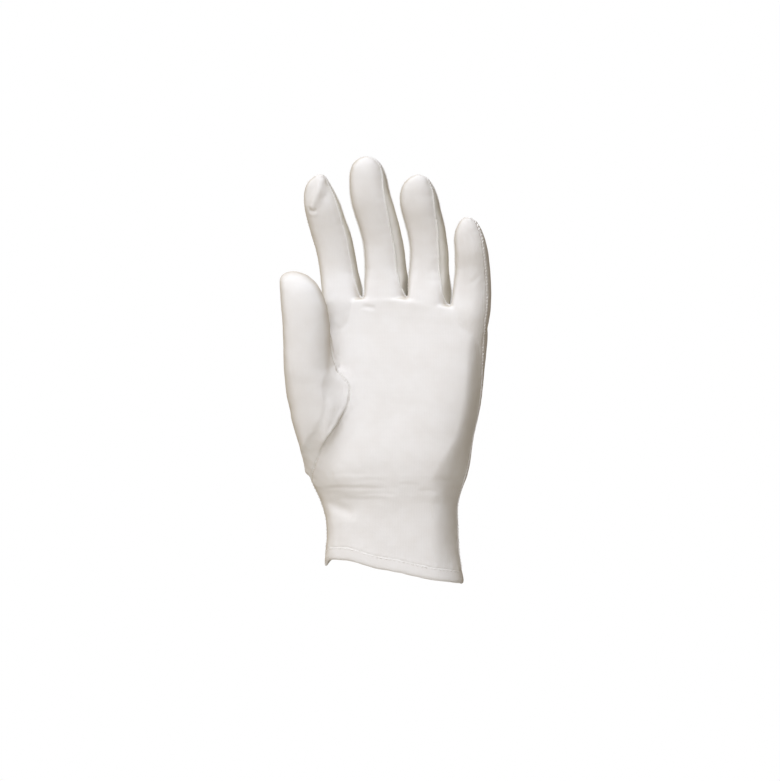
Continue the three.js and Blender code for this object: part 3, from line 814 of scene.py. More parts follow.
@dataclass
class GloveForm:
    """The glove's outer face before it is cut into pieces."""

    hand_sides: int = 160
    finger_sides: int = 72
    level_step: float = 1.2
    tip_zone: float = 5.0
    tip_levels: int = 9
    # evening out the joined surface: rounds, how far points go to their neighbours' middle and back again
    smoothing_rounds: int = 8
    smoothing: tuple = (0.5, 0.53)
    # rounding the clefts: rounds, pull towards the neighbours, share of a neighbour's hollow, hollows in mm
    soften_rounds: int = 10
    soften_pull: float = 0.6
    soften_spread: float = 0.7
    soften_from: float = 0.03
    soften_full: float = 0.16
    # each patch that is drawn tight: its middle, how far it reaches, the rounds of tightening
    patches: tuple = (
        (THUMB_VALLEY, 13.0, 320),
        (THUMB_CLEFT, 6.5, 120),
        (INDEX_ROOT, 8.0, 60),
        (tuple((x, y, z) for x, z in KNUCKLE_LINE for y in KNUCKLE_DEPTHS), 7.0, 2),
    )
    patch_pull: float = 0.9
    patch_core: float = 0.6
    # rounds of evening out the directions that the cloth's thickness is laid off along
    outward_rounds: int = 6

    def levels(self, rows: np.ndarray) -> np.ndarray:
        """Heights for the rings of one loft, closer together at its tip.

        Args:
            rows: the loft's sections.

        Returns:
            Rising heights.
        """
        bottom, tip = rows[0, 0], rows[-1, 0]
        even = np.arange(bottom, tip - self.tip_zone, self.level_step)
        near = tip - self.tip_zone * np.linspace(1, 0, self.tip_levels, endpoint=False) ** 2
        return np.concatenate([even, near])

    def loft(self, table: tuple, sides: int, hand: bool, root: tuple = (0, 0)) -> tuple[np.ndarray, list]:
        """Closed surface through one table of sections.

        Args:
            table: rows of z, x, y, half width and half depth.
            sides: points round each ring.
            hand: whether the sections are the hand's, with its own outline and slants.
            root: the sides, left and right, on which a finger is flatter at its root.

        Returns:
            Its points and its faces.
        """
        rows = np.array(table, float)
        z = self.levels(rows)
        x, y = (eased(z, rows[:, 0], rows[:, k])[:, None] for k in (1, 2))
        wide, deep = (half_size(table, k, z)[:, None] for k in (3, 4))
        angle = round_angles(sides, 0.5)
        square = np.full((len(z), 1), FINGER_SQUARENESS)
        if hand:
            boxier = smoothstep(z, BOXIER_FROM, BOXIER_TO)
            square = (WRIST_SQUARENESS + (KNUCKLE_SQUARENESS - WRIST_SQUARENESS) * boxier)[:, None]
        cos, sin = np.cos(angle)[None], np.sin(angle)[None]
        flatter = (ROOT_SQUARENESS - FINGER_SQUARENESS) * (1 - smoothstep(z, ROOT_TO, ROOT_FADES))[:, None]
        power = 2 / (square + flatter * np.where(cos > 0, root[1], root[0]))
        px = x + wide * signed_power(cos, power)
        py = y + deep * signed_power(sin, power)
        pz = np.repeat(z[:, None], sides, axis=1)
        if hand:
            level = 1 - smoothstep(pz, HEM_HEIGHT, MOUTH_LEVEL_FROM)
            drop = smoothstep(pz, KNUCKLE_DROP_START, KNUCKLE_DROP_END) * KNUCKLE_DROP_PER_MM
            front = np.clip((y + deep - py) / np.maximum(2 * deep, 1e-6), 0, 1)
            px, py = modelled(px, py, pz, front)
            pz = pz + level * mouth_edge(angle)[None] - drop * np.maximum(px - KNUCKLE_DROP_FROM_X, 0)
        points = np.stack([px, py, pz], axis=2).reshape(-1, 3)
        ends = np.stack([points[:sides].mean(axis=0), points[-sides:].mean(axis=0)])
        ends[1, 2] = rows[-1, 0]
        count = len(points)
        ring = np.arange(sides)
        after = (ring + 1) % sides
        faces = [[count, b, a] for a, b in zip(ring.tolist(), after.tolist())]
        top = count - sides
        faces += [[count + 1, top + a, top + b] for a, b in zip(ring.tolist(), after.tolist())]
        quads = np.stack([ring, after, sides + after, sides + ring], 1)
        for base in range(0, count - sides, sides):
            faces += (base + quads).tolist()
        return np.concatenate([points, ends]), faces

    def lofts(self) -> tuple[np.ndarray, list]:
        """All the lofts as one set of points and faces.

        Returns:
            Their points and faces.
        """
        made = [self.loft(HAND_ROWS, self.hand_sides, True)]
        made += [self.bent_finger(name) for name in FINGERS]
        made.append(self.loft(THUMB_ROWS, self.finger_sides, False))
        return merged(made)

    def bent_finger(self, name: str) -> tuple[np.ndarray, list]:
        """A finger's loft, bent forward point by point.

        Args:
            name: the finger.

        Returns:
            Its points and faces.
        """
        rows = FINGERS[name]
        straight = tuple((z, x, 0.0, wide, deep) for z, x, wide, deep in rows)
        points, faces = self.loft(straight, self.finger_sides, False, ROOT_SIDES[name])
        place = np.full(len(points), rows[-1][1])
        points[:, 0] += VIEW_SLANT * tip_forward(points[:, 2], place)
        points[:, 1] += bend(points[:, 2], place)
        return points, faces

    def joined(self) -> Skin:
        """The lofts as one even surface.

        Returns:
            The smoothed surface, still without creases.
        """
        points, faces = self.lofts()
        mesh = bpy.data.meshes.new("form")
        mesh.from_pydata(points.tolist(), [], faces)
        holder = linked("form", mesh)
        remesh = holder.modifiers.new("join", "REMESH")
        remesh.mode = "VOXEL"
        remesh.voxel_size = VOXEL
        even = holder.evaluated_get(bpy.context.evaluated_depsgraph_get()).to_mesh()
        even.calc_loop_triangles()
        points = np.zeros(len(even.vertices) * 3)
        even.vertices.foreach_get("co", points)
        faces = np.zeros(len(even.loop_triangles) * 3, np.int32)
        even.loop_triangles.foreach_get("vertices", faces)
        points, faces = points.reshape(-1, 3), faces.reshape(-1, 3).astype(np.int64)
        bpy.data.objects.remove(holder)
        edges, _ = edge_table(faces)
        shrink, swell = self.smoothing
        for _ in range(self.smoothing_rounds):
            points = points + shrink * (averaged(points, edges) - points)
            points = points - swell * (averaged(points, edges) - points)
        outward = vertex_normals(points, faces)
        return Skin(points, faces, outward, np.zeros(len(points), np.int64))

    def softened(self, skin: Skin) -> None:
        """Rounds the clefts where one form meets another, as cloth spans them.

        Args:
            skin: the surface to change.
        """
        edges, _ = edge_table(skin.faces)
        outward = vertex_normals(skin.points, skin.faces)
        for _ in range(self.soften_rounds):
            pull = averaged(skin.points, edges) - skin.points
            hollow = np.einsum("ij,ij->i", pull, outward)
            share = smoothstep(hollow, self.soften_from, self.soften_full)[:, None]
            spread = averaged(share, edges)
            skin.points += self.soften_pull * np.maximum(share, self.soften_spread * spread) * pull

    def stretched(self, skin: Skin, places: tuple, reach: float, rounds: int) -> None:
        """Draws the cloth tight round some places, as a skin held at the edge of the patch.

        Args:
            skin: the surface to change.
            places: points along the middle of the patch.
            reach: how far from them the cloth is still free.
            rounds: how far the tightening is carried on.
        """
        gaps = np.linalg.norm(skin.points[:, None] - np.array(places, float)[None], axis=2).min(axis=1)
        patch = skin.faces[(gaps[skin.faces] < reach).all(axis=1)]
        used, local = np.unique(patch, return_inverse=True)
        edges, _ = edge_table(local.reshape(-1, 3))
        free = self.patch_pull * smoothstep(gaps[used], reach, self.patch_core * reach)[:, None]
        points = skin.points[used]
        for _ in range(rounds):
            points += free * (averaged(points, edges) - points)
        skin.points[used] = points

    def creased(self, skin: Skin) -> None:
        """Presses the creases and the loose cloth's soft dents into the surface.

        Args:
            skin: the surface to change.
        """
        outward = vertex_normals(skin.points, skin.faces)
        surface = BVHTree.FromPolygons(skin.points.tolist(), skin.faces.tolist())
        moved = dented(skin.points, (*BROAD_DENTS, FINE_DENTS))
        for crease in CREASES:
            moved += crease.pressed(skin.points, crease.laid(surface))
        skin.points += moved[:, None] * outward
        skin.outward = vertex_normals(skin.points, skin.faces)

    def build(self) -> Skin:
        """The whole creased outer face.

        Returns:
            The surface, ready to be cut.
        """
        skin = self.joined()
        self.softened(skin)
        for places, reach, rounds in self.patches:
            self.stretched(skin, places, reach, rounds)
        self.creased(skin)
        edges, _ = edge_table(skin.faces)
        for _ in range(self.outward_rounds):
            skin.outward = unit(skin.outward + averaged(skin.outward, edges))
        return skin


class SeamLines:
    """Where the glove is cut: each method gives numbers that are positive on one side of a line."""

    # Heights between which the hem's line follows the cuff's own sections
    CUFF_HEIGHTS = (0, 20)
    THUMB_BELOW = 3
    # A strip's halves overlap by this much, its width changes over these heights from the crotch, and it may
    # run this far past a fingertip
    HALF_OVERLAP, CROTCH_FROM, CROTCH_TO, PAST_TIP = 1, -3, 9, 2
    # The side seam's shift sets in over these distances from its inner limit
    SIDE_FROM, SIDE_TO = -4, 2

    @classmethod
    def above_hem(cls, points: np.ndarray) -> np.ndarray:
        """Positive above the line where the turned hem is sewn.

        Args:
            points: places on the skin.

        Returns:
            One number for each place.
        """
        x, y, z = points.T
        rows = np.array(HAND_ROWS, float)
        near = np.clip(z, *cls.CUFF_HEIGHTS)
        cx, cy, wide, deep = (np.interp(near, rows[:, 0], rows[:, k]) for k in range(1, 5))
        across, along = (x - cx) / wide, (y - cy) / deep
        half = WRIST_SQUARENESS / 2
        angle = np.arctan2(signed_power(along, half), signed_power(across, half))
        return z - mouth_edge(angle) - HEM_HEIGHT + HEM_OVERLAP

    @classmethod
    def thumb(cls, points: np.ndarray) -> np.ndarray:
        """Positive on the thumb's side of its seam.

        Args:
            points: places on the skin.

        Returns:
            One number for each place.
        """
        x, y, z = points.T
        turned = math.cos(THUMB_SEAM_TURN) * (x - THUMB_SEAM_TURN_X) + math.sin(THUMB_SEAM_TURN) * y
        front = column(THUMB_SEAM_FRONT, 1, z) - x
        side = column(THUMB_SEAM_SIDE, 1, z) - turned
        low = z - THUMB_SEAM_FRONT[0][0] + cls.THUMB_BELOW
        high = THUMB_SEAM_FRONT[-1][0] - z
        return np.minimum.reduce([front, side, low, high])

    @classmethod
    def strip_half(cls, points: np.ndarray, own: str, other: str, crotch: float, front: int) -> np.ndarray:
        """Numbers that are positive on one finger's half of the strip between two fingers.

        Args:
            points: places on the skin.
            own: the finger whose half it is.
            other: the finger on the strip's other side.
            crotch: height of the crotch between them.
            front: the column of the strip's front edge in its table.

        Returns:
            One number for each place.
        """
        x, y, z = points.T
        rows = FINGERS[own]
        tip = rows[-1][0]
        centre = column(rows, 1, z)
        middle = (centre + column(FINGERS[other], 1, z)) / 2
        if rows[0][1] < FINGERS[other][0][1]:
            across = np.minimum(x - centre, middle + cls.HALF_OVERLAP - x)
        else:
            across = np.minimum(centre - x, x - middle + cls.HALF_OVERLAP)
        depth = column(rows, 3, np.minimum(z, tip - DOME_HEIGHT))
        below = np.maximum(tip - z, 0)
        full = smoothstep(z, crotch + cls.CROTCH_FROM, crotch + cls.CROTCH_TO)
        depth = depth * (STRIP_AT_CROTCH + (1 - STRIP_AT_CROTCH) * full)
        middle_y = bend(z, np.full_like(z, rows[-1][1]))
        share = column(STRIP_EDGES, front, below) * STRIP_FRONT_SHARE.get(own, 1.0)
        fore = y - (middle_y - depth * share)
        aft = middle_y + depth * column(STRIP_EDGES, 3, below) - y
        return np.minimum.reduce([across, fore, aft, z - crotch + STRIP_BELOW_CROTCH, tip + cls.PAST_TIP - z])

    @classmethod
    def strip(cls, points: np.ndarray, left: str, right: str, crotch: float) -> np.ndarray:
        """Positive on the strip between two fingers."""
        on_left = cls.strip_half(points, left, right, crotch, 1)
        return np.maximum(on_left, cls.strip_half(points, right, left, crotch, 2))

    @classmethod
    def back(cls, points: np.ndarray) -> np.ndarray:
        """Positive behind the side seams.

        Args:
            points: places on the skin.

        Returns:
            One number for each place.
        """
        x, y, z = points.T
        edge = column(SIDE_SEAM, 1, z)
        full = smoothstep(x, edge + cls.SIDE_FROM, edge + cls.SIDE_TO)
        return y - bend(z, x) + column(SIDE_SEAM, 2, z) * full


@dataclass
class NodeTree:
    """The nodes of a material or of the surroundings, with short ways to add and to join them."""

    tree: bpy.types.NodeTree

    def add(self, kind: str, values: dict | None = None) -> bpy.types.Node:
        """Adds a node of a kind, with constants for some of its inputs."""
        return self.fill(self.tree.nodes.new(kind), values or {})

    @classmethod
    def of_material(cls, name: str, values: dict) -> tuple[bpy.types.Material, "NodeTree", bpy.types.Node]:
        """Starts a new material.

        Args:
            name: the material's name.
            values: the constants of its shader's inputs.

        Returns:
            The material, its nodes and its shader.
        """
        made = bpy.data.materials.new(name)
        made.use_nodes = True
        tree = cls(made.node_tree)
        return made, tree, tree.fill(made.node_tree.nodes["Principled BSDF"], values)

    def fill(self, node: bpy.types.Node, values: dict) -> bpy.types.Node:
        """Gives a node's inputs their constants.

        Args:
            node: the node.
            values: constants by the input's name or number.

        Returns:
            The same node.
        """
        for name, value in values.items():
            node.inputs[name].default_value = value
        return node

    def ramp(self, start: tuple, end: tuple) -> bpy.types.Node:
        """Adds a colour ramp between two pairs of a place and a colour.

        Args:
            start: place and colour of its first stop.
            end: place and colour of its second stop.

        Returns:
            The new node.
        """
        node = self.add("ShaderNodeValToRGB")
        for element, (place, color) in zip(node.color_ramp.elements, (start, end)):
            element.position, element.color = place, color
        return node

    def join(self, *steps: tuple) -> None:
        """Leads outputs into inputs, each given as node, output, node, input."""
        for node, output, target, entry in steps:
            self.tree.links.new(node.outputs[output], target.inputs[entry])

    def raised(self, height: tuple, shader: bpy.types.Node, strength: float, distance: float) -> None:
        """Gives a shader a fine relief.

        Args:
            height: the node and its output that give the height.
            shader: the shader that takes the relief.
            strength: how strongly it shows.
            distance: its height in metres.
        """
        relief = self.add("ShaderNodeBump", {"Strength": strength, "Distance": distance})
        self.join((*height, relief, "Height"), (relief, "Normal", shader, "Normal"))


@dataclass(frozen=True)
class CottonFinish:
    """Knitted white cotton: fine ribs along the glove, soft mottling, a faint bloom and painted shade at its
    outline.
    """

    name: str
    light: tuple = (0.84, 0.825, 0.8, 1.0)
    shade: tuple = (0.82, 0.8, 0.77, 1.0)
    # what the colour is multiplied by where the cloth turns away from the viewer, a painted warm shade at the
    # outline, and the slants between which that sets in
    plain: tuple = (1.0, 1.0, 1.0, 1.0)
    rim: tuple = (0.66, 0.6, 0.51, 1.0)
    painted_shade_slants: tuple = (0.25, 0.97)
    mottle_range: tuple = (0.36, 0.62)
    # pitch of the ribs and of the rows in millimetres
    wale: float = 0.9
    course: float = 0.7
    fuzz: float = 0.9
    # strength and height in metres
    relief: tuple = (0.16, 0.00022)

    SURFACE = {"Roughness": 0.92, "Specular IOR Level": 0.25, "Sheen Weight": 0.04, "Sheen Roughness": 0.6}

    def material(self) -> bpy.types.Material:
        """The finish as nodes.

        Returns:
            The new material.
        """
        made, tree, shader = NodeTree.of_material(self.name, self.SURFACE)
        place = tree.add("ShaderNodeTexCoord")
        mottle = tree.add("ShaderNodeTexNoise", {"Scale": 90.0, "Detail": 5.0})
        tone = tree.ramp(*zip(self.mottle_range, (self.shade, self.light)))
        # painted shade: the knit's colour is darkened and warmed where the cloth turns away from the viewer
        slant = tree.add("ShaderNodeLayerWeight", {"Blend": 0.5})
        rim = tree.ramp(*zip(self.painted_shade_slants, (self.plain, self.rim)))
        cloth = tree.add("ShaderNodeMix")
        cloth.data_type, cloth.blend_type = "RGBA", "MULTIPLY"
        tree.fill(cloth, {"Factor": 1.0})
        ribs = self.bands(tree, place, "X", self.wale)
        rows = self.bands(tree, place, "Z", self.course)
        knit = tree.add("ShaderNodeMath")
        knit.operation = "MULTIPLY"
        fuzz = tree.add("ShaderNodeTexNoise", {"Scale": 1400.0, "Detail": 3.0})
        rough = tree.add("ShaderNodeMath", {1: self.fuzz})
        rough.operation = "MULTIPLY_ADD"
        tree.join(
            (place, "Object", mottle, "Vector"),
            (mottle, "Fac", tone, "Fac"),
            (slant, "Facing", rim, "Fac"),
            (tone, "Color", cloth, 6),
            (rim, "Color", cloth, 7),
            (cloth, 2, shader, "Base Color"),
            (ribs, "Fac", knit, 0),
            (rows, "Fac", knit, 1),
            (place, "Object", fuzz, "Vector"),
            (fuzz, "Fac", rough, 0),
            (knit, 0, rough, 2),
        )
        tree.raised((rough, 0), shader, *self.relief)
        return made

    @staticmethod
    def bands(tree: NodeTree, place: bpy.types.Node, axis: str, pitch: float) -> bpy.types.Node:
        """Soft ribs across one axis.

        Args:
            tree: the finish's nodes.
            place: the node that gives places on the cloth.
            axis: the axis that the ribs follow each other along.
            pitch: their pitch in millimetres.

        Returns:
            The node that gives the ribs.
        """
        values = {"Scale": 2 * math.pi / (20 * pitch * MM), "Distortion": 0.6, "Detail": 1.0}
        wave = tree.add("ShaderNodeTexWave", values)
        wave.bands_direction = axis
        tree.join((place, "Object", wave, "Vector"))
        return wave


@dataclass(frozen=True)
class ThreadFinish:
    """White sewing cotton, a little glossier than the knit."""

    name: str = "sewing_thread"
    light: tuple = (0.9, 0.89, 0.87, 1.0)
    shade: tuple = (0.82, 0.80, 0.76, 1.0)
    relief: tuple = (0.4, 0.0001)

    def material(self) -> bpy.types.Material:
        """The finish as nodes.

        Returns:
            The new material.
        """
        made, tree, shader = NodeTree.of_material(self.name, {"Roughness": 0.7, "Sheen Weight": 0.1})
        place = tree.add("ShaderNodeTexCoord")
        twist = tree.add("ShaderNodeTexWave", {"Scale": 900.0, "Distortion": 1.5})
        twist.bands_direction = "DIAGONAL"
        tone = tree.ramp((0.0, self.shade), (1.0, self.light))
        tree.join(
            (place, "Object", twist, "Vector"),
            (twist, "Fac", tone, "Fac"),
            (tone, "Color", shader, "Base Color"),
        )
        tree.raised((twist, "Fac"), shader, *self.relief)
        return made


@dataclass
class ClothPiece:
    """One piece of the glove's cloth, cut from the skin and given its thickness."""

    name: str
    skin: Skin
    # how far the cloth stands out at rising distances from its edge
    drawn: tuple = (-0.34, -0.06, 0.16, 0.1, 0.0)
    # the share of it beside a finger's strip, where the edge is turned up instead
    strip_share: float = -0.5

    # distances from the edge at which a row of points is laid, and those of the profile above
    ROWS = (0.5, 1.1, 1.9)
    PROFILE_AT = (0.0, *ROWS, 3.2)
    HEM_SHARE = 0.3
    # puckers: height, pitch, how far in they reach and set in, how their pitch drifts and over what length
    PUCKER, PUCKER_PITCH = 0.1, 5.5
    PUCKER_FADE, PUCKER_SETS_IN = 2.6, 1.2
    PUCKER_DRIFT, DRIFT_LENGTH = 2.5, 17.0

    def sewn(self) -> None:
        """Draws the cloth in along the piece's edge, with the puckers that sewing leaves."""
        skin = self.skin
        runs = skin.border(Line.NONE)
        places = np.concatenate([skin.points[run] for run in runs])
        along = np.concatenate([lengths(skin.points[run]) for run in runs])
        marks = np.concatenate([skin.marks[run] for run in runs])
        beside = np.where((marks & int(Line.STRIP)) > 0, self.strip_share, 1.0)
        share = np.where(marks == int(Line.HEM), self.HEM_SHARE, beside)
        tree = KDTree(len(places))
        for i, place in enumerate(places.tolist()):
            tree.insert(place, i)
        tree.balance()
        found = [tree.find(p) for p in skin.points.tolist()]
        nearest = [f[1] for f in found]
        skin.extra["edge"] = np.array([f[2] for f in found])
        skin.extra["along"] = along[nearest]
        skin.extra["drawn"] = share[nearest]
        for level in self.ROWS:
            skin.cut(skin.extra["edge"] - level, Line.NONE)
        edge, run = skin.extra["edge"], skin.extra["along"]
        drift = self.PUCKER_DRIFT * np.sin(run / self.DRIFT_LENGTH)
        pucker = self.PUCKER * np.sin(2 * math.pi * run / self.PUCKER_PITCH + drift)
        moved = self.standing_out()
        moved += pucker * np.exp(-edge / self.PUCKER_FADE) * smoothstep(edge, 0.0, self.PUCKER_SETS_IN)
        skin.points = skin.points + moved[:, None] * skin.outward

    def standing_out(self) -> np.ndarray:
        """How far the cloth stands out at each point, puckers apart."""
        held = self.skin.extra
        return np.interp(held["edge"], self.PROFILE_AT, self.drawn) * held["drawn"]

    def thickened(self) -> tuple[np.ndarray, list]:
        """The piece as a closed layer: its outer face, its inner face and its edge.

        Returns:
            Its points and faces.
        """
        skin = self.skin
        inner = skin.points - (CLOTH + self.standing_out())[:, None] * skin.outward
        count = len(skin.points)
        faces = [skin.faces, skin.faces[:, ::-1] + count]
        for run in skin.border(Line.NONE):
            a, b = run[:-1], run[1:]
            faces += [np.stack([b, a, a + count], 1), np.stack([b, a + count, b + count], 1)]
        return np.concatenate([skin.points, inner]), np.concatenate(faces).tolist()

    def build(self, slot: str, finish: bpy.types.Material) -> None:
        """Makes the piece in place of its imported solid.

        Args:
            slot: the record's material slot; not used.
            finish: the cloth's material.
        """
        self.sewn()
        points, faces = self.thickened()
        made = shown(self.name + "_cloth", points, faces, finish)
        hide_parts(self.name)
        LOG.info("%s: %d triangles", self.name, len(faces))


class Stitch(Enum):
    """How a seam's thread shows: across its welt, or in a row along the cloth."""

    OVERCAST = "overcast"
    RUN = "run"


@dataclass
class Seam:
    """A sewn line: a raised welt and the stitches over it."""

    name: str
    runs: list
    stitch: Stitch = Stitch.OVERCAST
    welt: float = 0.5
    sink: float = 0.08
    spacing: float = 1.7
    thread: float = 0.17
    reach: float = 0.75

    STEP = 0.6
    EVENING_ROUNDS = 10
    SIDES, THREAD_SIDES = 8, 6
    # thickness of the welt at its two ends and of a thread along one stitch, in shares
    END_THICKNESS = 0.35
    THREAD_THICKNESS = (0.6, 1.0, 1.05, 1.0, 0.6)
    # a running stitch: half its length in spacings, places along it, heights above the cloth
    RUN_HALF = 0.3
    RUN_ALONG = (-1, -0.7, 0, 0.7, 1)
    RUN_RISE = (-0.1, 0.12, 0.17, 0.12, -0.1)
    # an overcast stitch: its lean in spacings, its lift in threads, the height of its ends
    OVER_LEAN, OVER_LIFT, OVER_END = 0.25, 0.3, -0.25
    # where its two bends lie, as shares of its reach and of its height
    SHOULDER_OUT, SHOULDER_RISE = 0.62, 0.6
    # how much stitches differ: place in spacings, turn in radians, size
    PLACE_SPREAD, TURN_SPREAD, SIZE_SPREAD = 0.06, 0.12, 0.05

    def evened(self, points: np.ndarray, outward: np.ndarray, closed: bool) -> tuple[np.ndarray, np.ndarray]:
        """Resamples a run at even steps and takes out its small kinks.

        Args:
            points: the run's points.
            outward: the cloth's outward directions there.
            closed: whether the run ends where it starts.

        Returns:
            The even points and directions.
        """
        run = lengths(points)
        at = np.linspace(0, run[-1], max(int(run[-1] / self.STEP), 4) + 1)
        even, out = read_along(at, run, points), read_along(at, run, outward)
        for _ in range(self.EVENING_ROUNDS):
            if closed:
                even[0] = even[-1] = (even[1] + even[-2]) / 2
            for rows in (even, out):
                rows[1:-1] = 0.5 * rows[1:-1] + 0.25 * (rows[:-2] + rows[2:])
        return even, unit(out)

    def tube(self, path: np.ndarray, out: np.ndarray) -> tuple[np.ndarray, list]:
        """Round welt along a run, half sunk in the cloth.

        Args:
            path: the run's even points.
            out: the cloth's outward directions there.

        Returns:
            The welt's points and faces.
        """
        along = unit(np.gradient(path, axis=0))
        side = unit(np.cross(along, out))
        up = np.cross(side, along)
        thick = np.ones(len(path))
        thick[[0, -1]] = self.END_THICKNESS
        ring = circles(up, side, self.SIDES)
        points = (path - self.sink * up)[:, None] + self.welt * thick[:, None, None] * ring
        first, fan = np.zeros(self.SIDES - 2, int), np.arange(self.SIDES)
        start = np.stack([first, fan[1:-1], fan[2:]], 1)
        end = (len(path) - 1) * self.SIDES + start[:, [0, 2, 1]]
        faces = np.concatenate([tube_faces(len(path), self.SIDES, True), start, end])
        return points.reshape(-1, 3), faces.tolist()

    def stitch_path(self) -> np.ndarray:
        """The middle of one stitch as points along, above and across the seam.

        Returns:
            Five points in millimetres.
        """
        if self.stitch is Stitch.RUN:
            half = self.spacing * self.RUN_HALF
            return np.stack([half * np.array(self.RUN_ALONG), self.RUN_RISE, np.zeros(5)], axis=1)
        w, near = self.reach, self.SHOULDER_OUT * self.reach
        top = self.welt - self.sink + self.OVER_LIFT * self.thread
        shoulder = self.SHOULDER_RISE * top
        rise = np.array([self.OVER_END, shoulder, top, shoulder, self.OVER_END])
        across = np.array([-w, -near, 0, near, w])
        return np.stack([self.OVER_LEAN * self.spacing * across / w, rise, across], axis=1)

    def one_stitch(self) -> np.ndarray:
        """The rings of one bent thread, along, above and across the seam.

        Returns:
            The points of all its rings, in order.
        """
        path = self.stitch_path()
        direction = unit(np.gradient(path, axis=0))
        flat = np.array([0, 0, 1.0] if self.stitch is Stitch.RUN else [1.0, 0, 0])
        first = unit(np.cross(direction, flat))
        second = np.cross(direction, first)
        thick = self.thread * np.array(self.THREAD_THICKNESS)[:, None, None]
        return (path[:, None] + thick * circles(first, second, self.THREAD_SIDES)).reshape(-1, 3)

    def stitches(
        self, path: np.ndarray, out: np.ndarray, rng: np.random.Generator
    ) -> tuple[np.ndarray, list]:
        """All the stitches of a run, one short bent thread each.

        Args:
            path: the run's even points.
            out: the cloth's outward directions there.
            rng: gives the small differences between the stitches.

        Returns:
            The points and faces of them all.
        """
        own = self.one_stitch()
        run = lengths(path)
        at = np.arange(self.spacing, run[-1] - self.spacing, self.spacing)
        at = at + rng.normal(0, self.PLACE_SPREAD * self.spacing, len(at))
        up, along = (unit(read_along(at, run, rows)) for rows in (out, np.gradient(path, axis=0)))
        side = unit(np.cross(along, up))
        turn = rng.normal(0, self.TURN_SPREAD, len(at))
        cos, sin = np.cos(turn)[:, None], np.sin(turn)[:, None]
        along, side = cos * along + sin * side, cos * side - sin * along
        local = own[None] * rng.normal(1.0, self.SIZE_SPREAD, len(at))[:, None, None]
        points = read_along(at, run, path)[:, None]
        for k, axis in enumerate((along, up, side)):
            points = points + local[..., k : k + 1] * axis[:, None]
        faces = tube_faces(len(self.THREAD_THICKNESS), self.THREAD_SIDES, False)
        starts = (np.arange(len(at)) * len(own))[:, None, None]
        return points.reshape(-1, 3), (faces[None] + starts).reshape(-1, 3).tolist()

    def build(self, finish: bpy.types.Material, rng: np.random.Generator) -> None:
        """Makes the seam's welt and stitches as one piece.

        Args:
            finish: the thread's material.
            rng: makes the stitches differ a little.
        """
        parts = []
        for places, outward, closed in self.runs:
            path, out = self.evened(places, outward, closed)
            if self.stitch is not Stitch.RUN:
                parts.append(self.tube(path, out))
            parts.append(self.stitches(path, out, rng))
        points, faces = merged(parts)
        shown(self.name, points, faces, finish)
        LOG.info("%s: %d triangles", self.name, len(faces))


@dataclass
class CuffHem:
    """The turned hem: two layers of cloth folded at the cuff's mouth."""

    sides: int = 420
    stitch_height: float = 6.4
    # the edge's small waves: height, pitch, shift of the noise
    waves: tuple = ((0.35, 9.0, 5.3), (0.12, 3.0, 8.8))
    # outward from the cuff's face and up from the mouth's edge, round the hem's section
    section: tuple = (
        (-0.3, 7.62), (-0.1, 7.45), (0.0, 7.1), (0.06, 6.2), (0.12, 4.6), (0.18, 2.8), (0.16, 1.2),
        (-0.04, 0.35), (-0.45, -0.02), (-1.0, 0.06), (-1.45, 0.5), (-1.68, 1.6), (-1.72, 3.6), (-1.7, 5.6),
        (-1.66, 7.0), (-1.5, 7.7), (-1.2, 8.0), (-0.9, 8.0),
    )

    def frame_at(self, angle: np.ndarray, height: np.ndarray) -> tuple[np.ndarray, np.ndarray]:
        """Points on the cuff's outer face and the level directions out of it.

        Args:
            angle: angles round the cuff, in radians from +X towards +Y.
            height: heights above the mouth's edge.

        Returns:
            The points and the directions.
        """
        rows = np.array(HAND_ROWS, float)
        x, y, wide, deep = (eased(height, rows[:, 0], rows[:, k]) for k in range(1, 5))
        power = 2 / WRIST_SQUARENESS
        cos, sin = np.cos(angle), np.sin(angle)
        px, py = x + wide * signed_power(cos, power), y + deep * signed_power(sin, power)
        out_x, out_y = signed_power(cos, 2 - power) / wide, signed_power(sin, 2 - power) / deep
        outward = unit(np.stack([out_x, out_y, np.zeros_like(px)], axis=-1))
        front = np.clip((y + deep - py) / (2 * deep), 0, 1)
        px, py = modelled(px, py, height, front)
        return np.stack([px, py, height + mouth_edge(angle)], axis=-1), outward

    def build(self, finish: bpy.types.Material) -> None:
        """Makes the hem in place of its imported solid.

        Args:
            finish: the hem's material.
        """
        profile = np.array(self.section)
        turn, height = np.meshgrid(round_angles(self.sides, 0.5), profile[:, 1], indexing="ij")
        face, out = self.frame_at(turn, height)
        low = np.clip(1 - profile[:, 1] / HEM_HEIGHT, 0, 1)
        face[..., 2] += dented(face[:, 0], self.waves)[:, None] * low
        dents = dented(face.reshape(-1, 3), BROAD_DENTS).reshape(height.shape)
        points = (face + (profile[:, 0] + dents)[..., None] * out).reshape(-1, 3)
        count = len(profile)
        i, j = np.meshgrid(np.arange(self.sides), np.arange(count), indexing="ij")
        after, up = (i + 1) % self.sides, (j + 1) % count
        faces = np.stack([i * count + j, i * count + up, after * count + up, after * count + j], axis=-1)
        made = shown("cuff_hem_cloth", points, faces.reshape(-1, 4).tolist(), finish)
        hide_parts("cuff_hem")
        LOG.info("cuff_hem: %d triangles", 2 * faces[..., 0].size)

    def stitch_line(self) -> tuple[np.ndarray, np.ndarray, bool]:
        """The level run round the hem for its row of stitches.

        Returns:
            Its points, the directions out of the cloth there, and that it closes.
        """
        angle = round_angles(self.sides, 0.5, 1)
        face, out = self.frame_at(angle, np.full(len(angle), self.stitch_height))
        return face + dented(face, BROAD_DENTS)[:, None] * out, out, True


